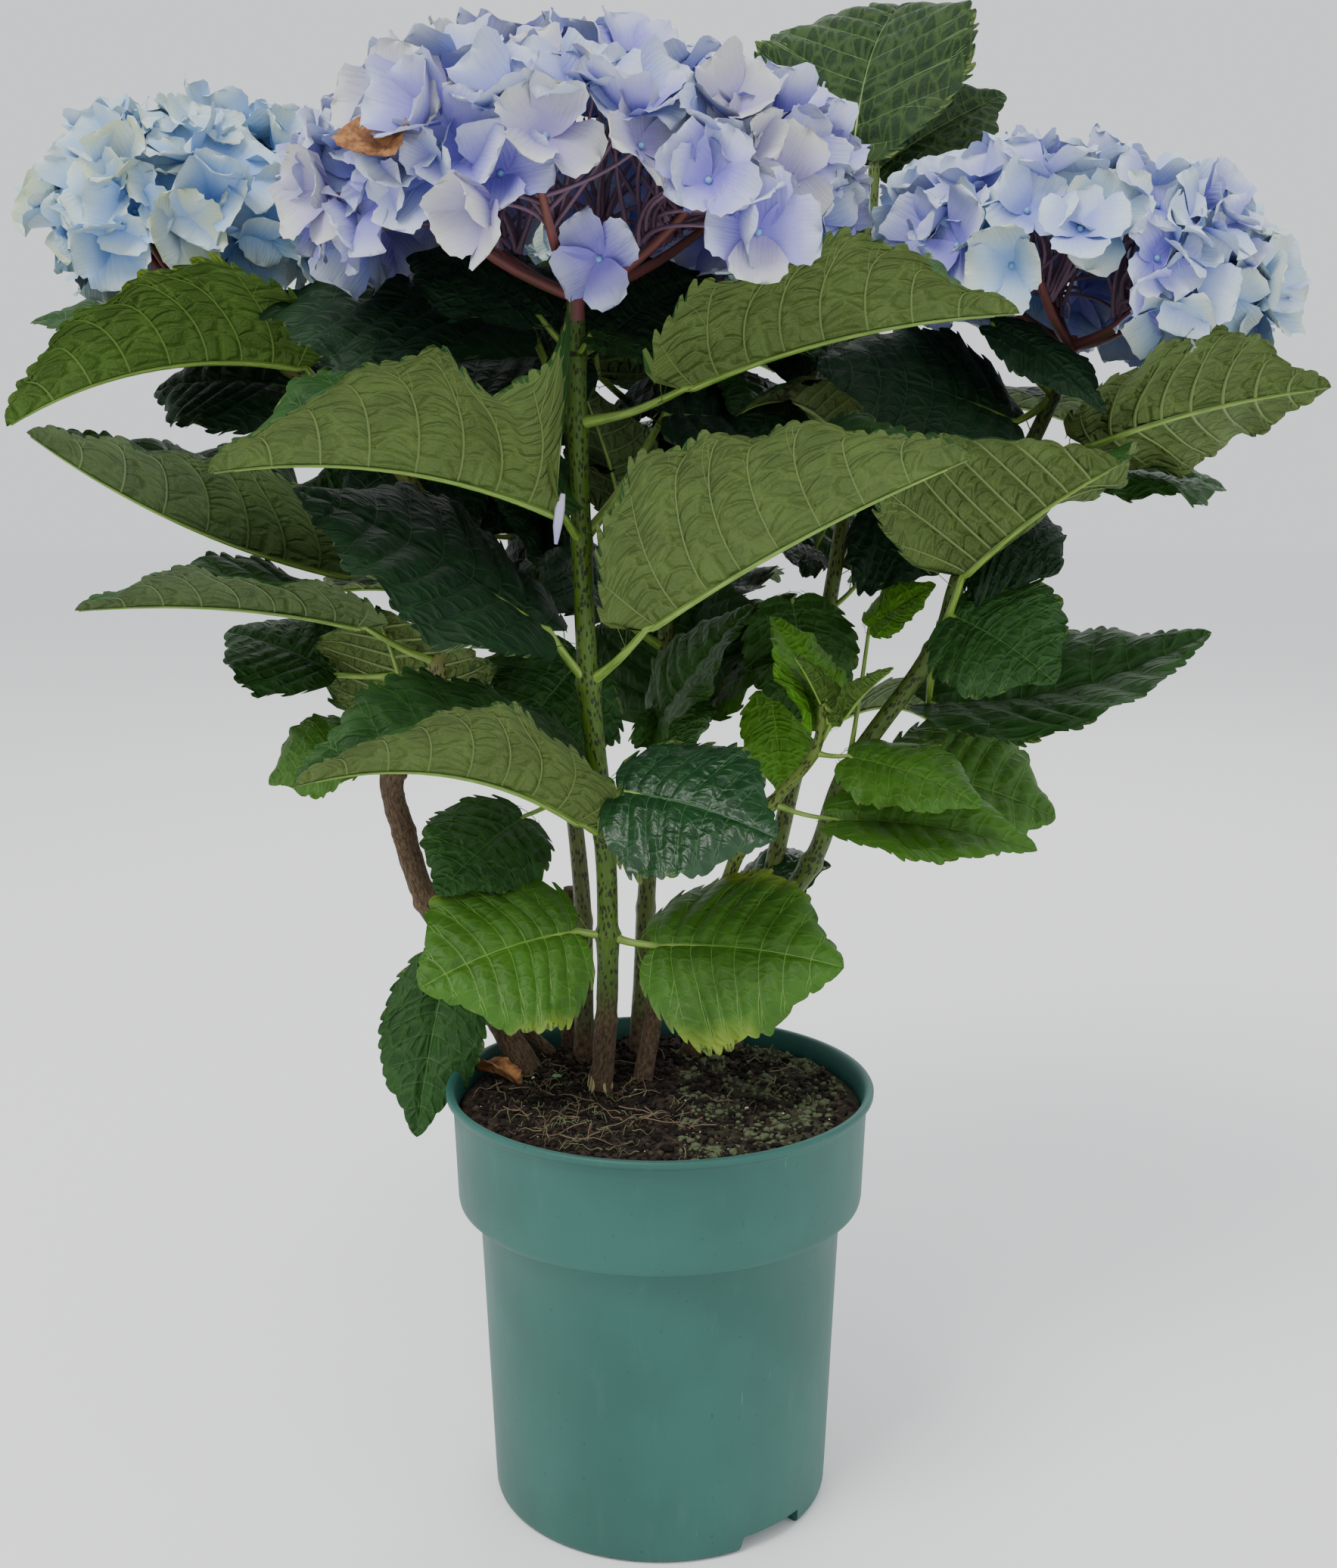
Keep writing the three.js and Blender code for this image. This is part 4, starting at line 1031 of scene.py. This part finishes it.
upper_order, under_order = list(UPPERS), list(UNDERS)

petiole_green = Paint("petiole_green", tint(112, 144, 52), 0.45)
streaks = petiole_green.noise(petiole_green.where((0.08, 1, 1), "grain"), 1.2, 3.0)
colour = petiole_green.blend(streaks.ramp(0.35, 0.65), tint(94, 126, 42), tint(130, 160, 66))
petiole_green.set("Base Color", colour)
petiole_green.relief(streaks, 0.0003)

for order, (name, (nodes, _, _, leaves)) in enumerate(CANES.items()):
    blades, veins, petioles = Sheaf(), Sheaf(), Sheaf()
    for number, row in enumerate(leaves):
        at_node, (stalk_turn, _, _), _, _, _, looks = row
        blade = Blade(point_along(nodes, at_node)[0], row, 100 * order + number)
        upper_name, under_name = looks.split()
        upper = upper_order.index(upper_name)
        under = len(upper_order) + under_order.index(under_name)
        add_blade(blades, blade, upper, under)
        add_veins(veins, blade, upper, under)
        add_petiole(petioles, blade)
        add_ball(petioles, blade.root + heading(stalk_turn, BUD_RISE) * BUD_REACH, BUD_SIZE)
    make_piece(f"blades_{name}", blades, leaf_paints, [f"leaves_{name}"], crease=80)
    make_piece(f"veins_{name}", veins, vein_paints, (), patterned=False, crease=180)
    make_piece(f"petioles_{name}", petioles, [petiole_green], ())

# ---------------------------------------------------------------------------------------------
# Flower heads. From its cane's tip a stalk forks into a few arms, and these into many thin purple
# pedicels. Each carries one floret of four broad papery sepals, deeper in colour by its blue bead.
FLORET_RADIUS = 23
GOLDEN_TURN, TURN_JITTER = 137.508, 14
DOME_INNER, DOME_DEPTH = 0.84, 0.16
SEPAL_WIDTH = 0.54
ARM_REACH = 0.62
ARM_TURN = 20
GAP_TOP = 0.12
BEAD_SIZE, BEAD_LIFT = (1.5, 1.5, 1.5), 1.2
# The finishes of a head's sepals and beads, and of its stalks, by their place in its paints.
LILAC, BLUE, FADED, BEAD, WITHERED = range(5)
ARM, PEDICEL = range(2)
# Florets given one by one on the front head: four that face forward round its open underside, and one
# at its left with a withered sepal. Each has its place, facing, sepal length, openness, finish,
# and the finish of its first sepal.
SET_FLORETS = [
    ((-21.7, -72.0, 539.6), (-0.45, -0.85, -0.15), 17.5, 0.1, LILAC, LILAC),
    ((-55.2, -108.0, 565.7), (-0.25, -0.9, 0.1), 20, 0.3, LILAC, LILAC),
    ((35.4, -112.0, 545.3), (0.05, -0.95, 0.1), 22, 0.1, LILAC, FADED),
    ((18.1, -112.0, 562.6), (-0.2, -0.85, 0.35), 19, 0.35, LILAC, LILAC),
    ((-95, -99.0, 589), (-0.25, -0.9, 0.3), 23, 0.1, FADED, WITHERED),
]
# A head: its hub; the dome's centre and half sizes; its tilt and how far round it reaches, in
# degrees; how many arms and florets; its seed; and the turn and half width of its open gap.
HEADS = {
    "front": ((-33, -31, 528), (-32, -31, 565), (105, 92, 51), 0, 106, 6, 124, 101, (-82, 19)),
    "left": ((-202, 60, 531), (-203, 60, 565), (58, 58, 40), 0, 110, 5, 66, 202, (0, 0)),
    "right": ((177, 30, 511), (178, 30, 541), (76, 72, 42), 10, 112, 5, 88, 303, (-112, 20)),
    "back": ((0, 147, 516), (2, 157, 560), (74, 70, 44), 0, 104, 5, 56, 404, (0, 0)),
}
SEPAL_SHARES = np.array([0.03, 0.13, 0.27, 0.41, 0.55, 0.68, 0.78, 0.86, 0.93, 0.98])
SEPAL_TEETH = np.array([0, 0, 0, 0, 1, 0, 1, 0, 1, 0])
SEPAL_ACROSS = np.array([-1, -0.78, -0.5, -0.2, 0, 0.2, 0.5, 0.78, 1])
SEPAL_STEPS = 20


def sepal_outline(share):
    """Half the width of a sepal, as a share of its widest place: wedge at the base, blunt tip."""
    return share ** 0.62 * (1 - share) ** 0.36 / 0.553


def add_sepal(sheaf, centre, normal, out, reach, form, finish):
    """One sepal from the floret's middle outwards, as a cupped and ruffled sheet.

    Its form is the slope at its base, how far it bends, its trough, and its ruffle's place and size.
    """
    start, bend, trough, wave, ruffle = form
    wide = np.cross(normal, out)
    share, across = np.meshgrid(SEPAL_SHARES, SEPAL_ACROSS, indexing="ij")
    tooth = SEPAL_TEETH[:, None] * (np.abs(across) == 1)
    half = reach * SEPAL_WIDTH * sepal_outline(share)
    run = np.linspace(0, 1, SEPAL_STEPS + 1)
    slope = np.radians(start + bend * run)
    outward = np.concatenate([[0], np.cumsum(np.cos(slope))])[:-1] * reach / SEPAL_STEPS
    upward = np.concatenate([[0], np.cumsum(np.sin(slope))])[:-1] * reach / SEPAL_STEPS
    far = np.interp(share * (1 + 0.03 * tooth), run, outward)
    rise = np.interp(share, run, upward)
    sideways = half * across * (1 + 0.08 * tooth)
    rise = rise + reach * trough * (across * half / reach) ** 2
    edge = np.abs(across) ** 1.5 * share ** 1.5
    rise = rise + ruffle * reach * edge * np.sin(wave + 9 * share + 1.4 * np.sign(across))
    rise = rise + 0.5 * ruffle * reach * share ** 6 * np.sin(wave * 2 + 7 * across)
    rise = rise - 0.02 * reach * np.exp(-((across / 0.2) ** 2)) * share
    points = centre + out * far[..., None] + wide * sideways[..., None] + normal * rise[..., None]
    index = sheaf.add_points(points).reshape(share.shape)
    grain = np.stack([share * FLORET_RADIUS, sideways], axis=-1)
    sheaf.add_grid(index, grain, finish)
    hub = sheaf.add_points(points[-1].mean(axis=0) + out * 0.02 * reach)[0]
    sheaf.add_fan(hub, index[-1], grain[-1], finish)


def add_floret(sepals, stalks, floret, head_frame, forms, finishes):
    """Four sepals round a bead, on a pedicel that bends out from the nearest arm.

    The finishes are that of its sepals and that of the first of them.
    """
    place, normal, reach, spin, openness, branch_share = floret
    hub, centre, ends = head_frame
    nearest = ends[np.argmin(np.linalg.norm(ends - place, axis=1))]
    branch = hub + (nearest - hub) * (0.45 + 0.5 * branch_share)
    inside = centre + (place - centre) * 0.45
    steps = np.linspace(0, 1, 9)[:, None]
    line = branch * (1 - steps) ** 2 + 2 * inside * steps * (1 - steps)
    line = line + (place - normal * 0.8) * steps ** 2
    add_tube(stalks, line, np.linspace(1.1, 0.55, 9), 6, PEDICEL)
    guide = np.array([1.0, 0, 0]) if abs(normal[2]) > 0.9 else np.array([0, 0, 1.0])
    side = np.cross(normal, guide)
    side = side / np.linalg.norm(side)
    forth = np.cross(normal, side)
    for number, dice in enumerate(forms):
        angle = math.radians(spin * 90 + 90 * number + 16 * (dice[0] - 0.5))
        out = side * math.cos(angle) + forth * math.sin(angle)
        slope = 2 + 44 * openness + 30 * (dice[1] - 0.5) + 5 * (number % 2)
        bend, trough = 50 * (dice[2] - 0.55), 0.15 + 1.1 * dice[3]
        form = (slope, bend, trough, dice[4] * 6.3, 0.05 + 0.13 * dice[5])
        finish = finishes[1] if number == 0 else finishes[0]
        add_sepal(sepals, place, normal, out, reach * (0.9 + 0.2 * dice[6]), form, finish)
    add_ball(sepals, place + normal * BEAD_LIFT, BEAD_SIZE, BEAD)


def add_head(sepals, stalks, head, cane_nodes, set_florets):
    """A stalk, its arms, florets spiralled over the dome but for its gap, and those listed one by one.
    """
    hub, centre, size, tilt, overhang, arms, count, seed, (gap_turn, gap_half) = head
    hub, centre, size = (np.array(values, dtype=float) for values in (hub, centre, size))
    drawn = np.random.default_rng(seed)
    lean = math.radians(tilt)
    tilted = np.array([
        (math.cos(lean), 0, math.sin(lean)), (0, 1, 0), (-math.sin(lean), 0, math.cos(lean)),
    ])
    start = point_along(cane_nodes, len(cane_nodes) - 1)[0]
    low = hub + (centre - hub) * 0.15
    up_stalk = [start - (0, 0, 1), (start + hub) / 2, hub, low]
    add_tube(stalks, up_stalk, [3.6, 3.4, 3.6, 2.4], 12, ARM)
    ends = []
    for number in range(arms):
        out = heading(360 * number / arms + ARM_TURN, 0) * size * ARM_REACH
        ends.append(tilted @ out + centre)
        steps = np.linspace(0, 1, 9)[:, None]
        arc = np.array([0, 0, -5.0]) * np.sin(math.pi * steps)
        add_tube(stalks, hub + (ends[-1] - hub) * steps + arc, np.linspace(2.6, 1.5, 9), 9, ARM)
    ends = np.array(ends)
    lowest = math.cos(math.radians(overhang))
    for number in range(count):
        height = 1 - (number + 0.5) / count * (1 - lowest)
        ring = math.sqrt(1 - height * height)
        turn = number * GOLDEN_TURN + TURN_JITTER * (drawn.random() - 0.5)
        ball = heading(turn, 0) * ring
        ball[2] = height
        deep, sway = drawn.random(), drawn.random(2)
        place = tilted @ (ball * size * (DOME_INNER + DOME_DEPTH * deep)) + centre
        normal = ball / size
        normal = normal / np.linalg.norm(normal)
        normal[:2] += 0.5 * (sway - 0.5) * 2
        normal[2] += 0.2 * (deep - 0.3)
        normal = tilted @ (normal / np.linalg.norm(normal))
        branch_share, spin, openness = drawn.random(3)
        reach = FLORET_RADIUS * (0.82 + 0.24 * drawn.random())
        faded = 0.25 + 0.5 * (1 - height) / (1 - lowest)
        chances = [0.45, 0.55 - faded * 0.35, faded * 0.35]
        finish = int(drawn.choice([LILAC, BLUE, FADED], p=chances))
        forms = drawn.random((4, 7))
        off_gap = abs((turn - gap_turn + 180) % 360 - 180)
        if off_gap < gap_half and height < GAP_TOP and branch_share < 0.8:
            continue
        floret = (place, normal, reach, spin, openness, branch_share)
        add_floret(sepals, stalks, floret, (hub, centre, ends), forms, (finish, finish))
    for place, facing, reach, openness, finish, odd_finish in set_florets:
        place, normal = np.array(place), np.array(facing) / np.linalg.norm(facing)
        floret = (place, normal, reach, drawn.random(), openness, drawn.random())
        forms = drawn.random((4, 7))
        add_floret(sepals, stalks, floret, (hub, centre, ends), forms, (finish, odd_finish))


def sepal_paint(name, inner, middle, margin):
    """A sepal: deeper colour by the bead, paling to its margin, with faint veins along it."""
    paint = Paint(name, middle, 0.62, Specular_IOR_Level=0.3)
    along = paint.part(0, "grain")
    streak = paint.noise(paint.where((0.1, 1, 1), "grain"), 0.9, 3.0)
    cloud = paint.noise(paint.where(), 60.0, 2.0)
    far = along + 9.0 * (cloud - 0.5)
    colour = paint.blend(far.ramp(4, 13), inner, middle)
    colour = paint.blend(far.ramp(12, 22), colour, margin)
    colour = paint.blend(streak.ramp(0.5, 0.75) * 0.22, colour, inner)
    paint.set("Base Color", colour)
    paint.relief(streak, 0.0005)
    return paint


stalk_paint = Paint("pedicel_arm", tint(122, 66, 64), 0.55)
arm_mix = stalk_paint.noise(stalk_paint.where((0.1, 1, 1), "grain"), 0.8, 3.0)
colour = stalk_paint.blend(arm_mix.ramp(0.35, 0.65), tint(98, 74, 54), tint(134, 64, 70))
stalk_paint.set("Base Color", colour)
pedicel_paint = Paint("pedicel", tint(116, 88, 106), 0.55)
bead_paint = Paint("floret_bead", tint(120, 164, 204), 0.5)
withered = Paint("withered_brown", tint(132, 84, 44), 0.75)
withered_spots = withered.noise(withered.where(), 240.0, 4.0, 0.6)
colour = withered.blend(withered_spots.ramp(0.35, 0.65), tint(104, 62, 34), tint(166, 116, 66))
withered.set("Base Color", colour)
withered.relief(withered_spots, 0.0008)
# Each kind of sepal: its colour by the bead, at its middle and at its margin.
SEPAL_KINDS = ("lilac", "blue", "faded")
HEAD_TINTS = {
    "front": [
        (tint(124, 116, 202), tint(152, 151, 212), tint(182, 188, 212)),
        (tint(128, 132, 207), tint(156, 167, 214), tint(184, 194, 212)),
        (tint(152, 144, 194), tint(173, 172, 196), tint(191, 194, 191)),
    ],
    "left": [
        (tint(122, 160, 222), tint(158, 190, 226), tint(187, 206, 212)),
        (tint(136, 174, 222), tint(172, 200, 220), tint(195, 210, 200)),
        (tint(162, 184, 210), tint(187, 204, 200), tint(190, 202, 170)),
    ],
    "right": [
        (tint(134, 130, 212), tint(164, 169, 222), tint(192, 202, 220)),
        (tint(138, 148, 216), tint(170, 186, 224), tint(194, 211, 221)),
        (tint(140, 174, 220), tint(175, 200, 218), tint(197, 210, 200)),
    ],
}
HEAD_TINTS["back"] = HEAD_TINTS["left"]
for name, head in HEADS.items():
    sepals, stalks = Sheaf(), Sheaf()
    add_head(sepals, stalks, head, CANES[name][0], SET_FLORETS if name == "front" else [])
    sepal_paints = [
        sepal_paint(f"sepal_{name}_{kind}", *tints)
        for kind, tints in zip(SEPAL_KINDS, HEAD_TINTS[name])
    ]
    make_piece(
        f"sepals_{name}", sepals, sepal_paints + [bead_paint, withered], [f"bloom_{name}"],
        crease=80,
    )
    make_piece(f"pedicels_{name}", stalks, [stalk_paint, pedicel_paint], ())

# ---------------------------------------------------------------------------------------------
# Litter. A dry curled leaf and a green liverwort disc lie on the peat, pale fibres fray from the
# front cane's foot, and one fallen petal is caught in the joint under the large left leaf.
DRY_LEAF_ROW = (0, (0, 0, 0.1), (-30, 14, 50), (26, 17), (34, 10), "")
PETAL_LINE = ((-41.6, -37.5, 430.9), (-40.9, -38.2, 438), (-39.8, -38.4, 445), (-38.6, -37.5, 451))
FRAY_COUNT, FRAY_START = 9, 4.6
FRAY_HEIGHTS, FRAY_SHARES = (8, 4.4, 2.6, 1.4), (0.0, 0.3, 0.65, 1.0)

litter = Sheaf()
dry_leaf = Blade(np.array([-84.0, 26, 186.4]), DRY_LEAF_ROW, 7)
add_blade(litter, dry_leaf, 0, 0)
make_piece("dry_leaf", litter, [withered], (), crease=80)

disc = Sheaf()
add_ball(disc, (-47, 17, 186.2), (2.7, 2.5, 0.5))
liverwort = Paint("liverwort", tint(58, 118, 62), 0.6)
liverwort_cloud = liverwort.noise(liverwort.where(), 900.0, 2.0)
colour = liverwort.blend(liverwort_cloud, tint(44, 98, 50), tint(74, 138, 74))
liverwort.set("Base Color", colour)
make_piece("liverwort_disc", disc, [liverwort], (), patterned=False)

fray = Sheaf()
foot = np.array(CANES["front"][0][0], dtype=float)
for number in range(FRAY_COUNT):
    turn = 360 * number / FRAY_COUNT + 11 * (number % 3)
    spread = 1 + 0.7 * (number % 4)
    line = [
        foot + heading(turn, 0) * (FRAY_START + spread * far) + (0, 0, up)
        for up, far in zip(FRAY_HEIGHTS, FRAY_SHARES)
    ]
    add_tube(fray, line, [0.5, 0.8, 0.7, 0.3], 6)
fray_paint = Paint("frayed_fibre", tint(150, 138, 92), 0.8)
fray_grain = fray_paint.noise(fray_paint.where((0.2, 2, 1), "grain"), 1.0)
colour = fray_paint.blend(fray_grain, tint(118, 104, 66), tint(178, 168, 118))
fray_paint.set("Base Color", colour)
make_piece("foot_fibres", fray, [fray_paint], ())

petal = Sheaf()
flat = 0.35 + 1.7 * np.abs(np.cos(np.arange(10) * math.tau / 10))
add_tube(petal, PETAL_LINE, np.outer((0.35, 0.9, 1.0, 0.5), flat), 10)
petal_paint = sepal_paint("fallen_lilac", tint(176, 172, 214), tint(200, 198, 224), tint(214, 214, 224))
make_piece("fallen_petal", petal, [petal_paint], ())

# ---------------------------------------------------------------------------------------------
# Stand, light and camera. A pale floor and backdrop, a broad soft key from the upper left, a
# weak fill, and a camera that looks slightly down at the plant.
# The camera's place is in metres, its dip in radians, and its focal length and the picture's
# longer side in pixels.
CAMERA_PLACE = (0.0038, -0.8115, 0.4828)
CAMERA_DOWN = 0.192
FOCAL_PIXELS = 2522
LONG_SIDE = 2072
SENSOR_WIDTH = 36

floor_mesh = bpy.data.meshes.new("floor")
floor_mesh.from_pydata([(-6, -6, 0), (6, -6, 0), (6, 6, 0), (-6, 6, 0)], [], [(0, 1, 2, 3)])
floor = bpy.data.objects.new("floor", floor_mesh)
bpy.context.scene.collection.objects.link(floor)
floor_mesh.materials.append(Paint("pale_floor", (0.93, 0.93, 0.93, 1), 0.9).material)

world = bpy.data.worlds.new("studio")
world.use_nodes = True
sky = world.node_tree.nodes["Background"]
sky.inputs["Color"].default_value = (0.95, 0.97, 1.0, 1)
sky.inputs["Strength"].default_value = 1.05
bpy.context.scene.world = world


def add_light(name, place, target, size, power, colour):
    """A square soft light in metres and watts, turned to shine at its target."""
    lamp = bpy.data.lights.new(name, "AREA")
    lamp.size = size
    lamp.energy = power
    lamp.color = colour
    holder = bpy.data.objects.new(name, lamp)
    bpy.context.scene.collection.objects.link(holder)
    place, target = np.array(place), np.array(target)
    way = target - place
    flat = math.hypot(way[0], way[1])
    holder.location = place
    holder.rotation_euler = (math.atan2(flat, -way[2]), 0, math.atan2(-way[0], way[1]))


add_light(
    "key", place=(-0.9, -1.1, 2.3), target=(0, 0, 0.35), size=1.1, power=46, colour=(1.0, 0.98, 0.95)
)
add_light(
    "fill", place=(1.6, -1.4, 1.0), target=(0, 0, 0.35), size=1.6, power=9, colour=(0.93, 0.96, 1.0)
)
add_light(
    "rim", place=(0.4, 1.8, 1.8), target=(0, 0, 0.4), size=1.4, power=14, colour=(1.0, 1.0, 1.0)
)

lens = bpy.data.cameras.new("camera")
lens.lens = SENSOR_WIDTH * FOCAL_PIXELS / LONG_SIDE
lens.sensor_width = SENSOR_WIDTH
lens.sensor_fit = "AUTO"
lens.clip_start = 0.05
camera = bpy.data.objects.new("camera", lens)
camera.location = CAMERA_PLACE
camera.rotation_euler = (math.pi / 2 - CAMERA_DOWN, 0, 0)
bpy.context.scene.collection.objects.link(camera)
bpy.context.scene.camera = camera
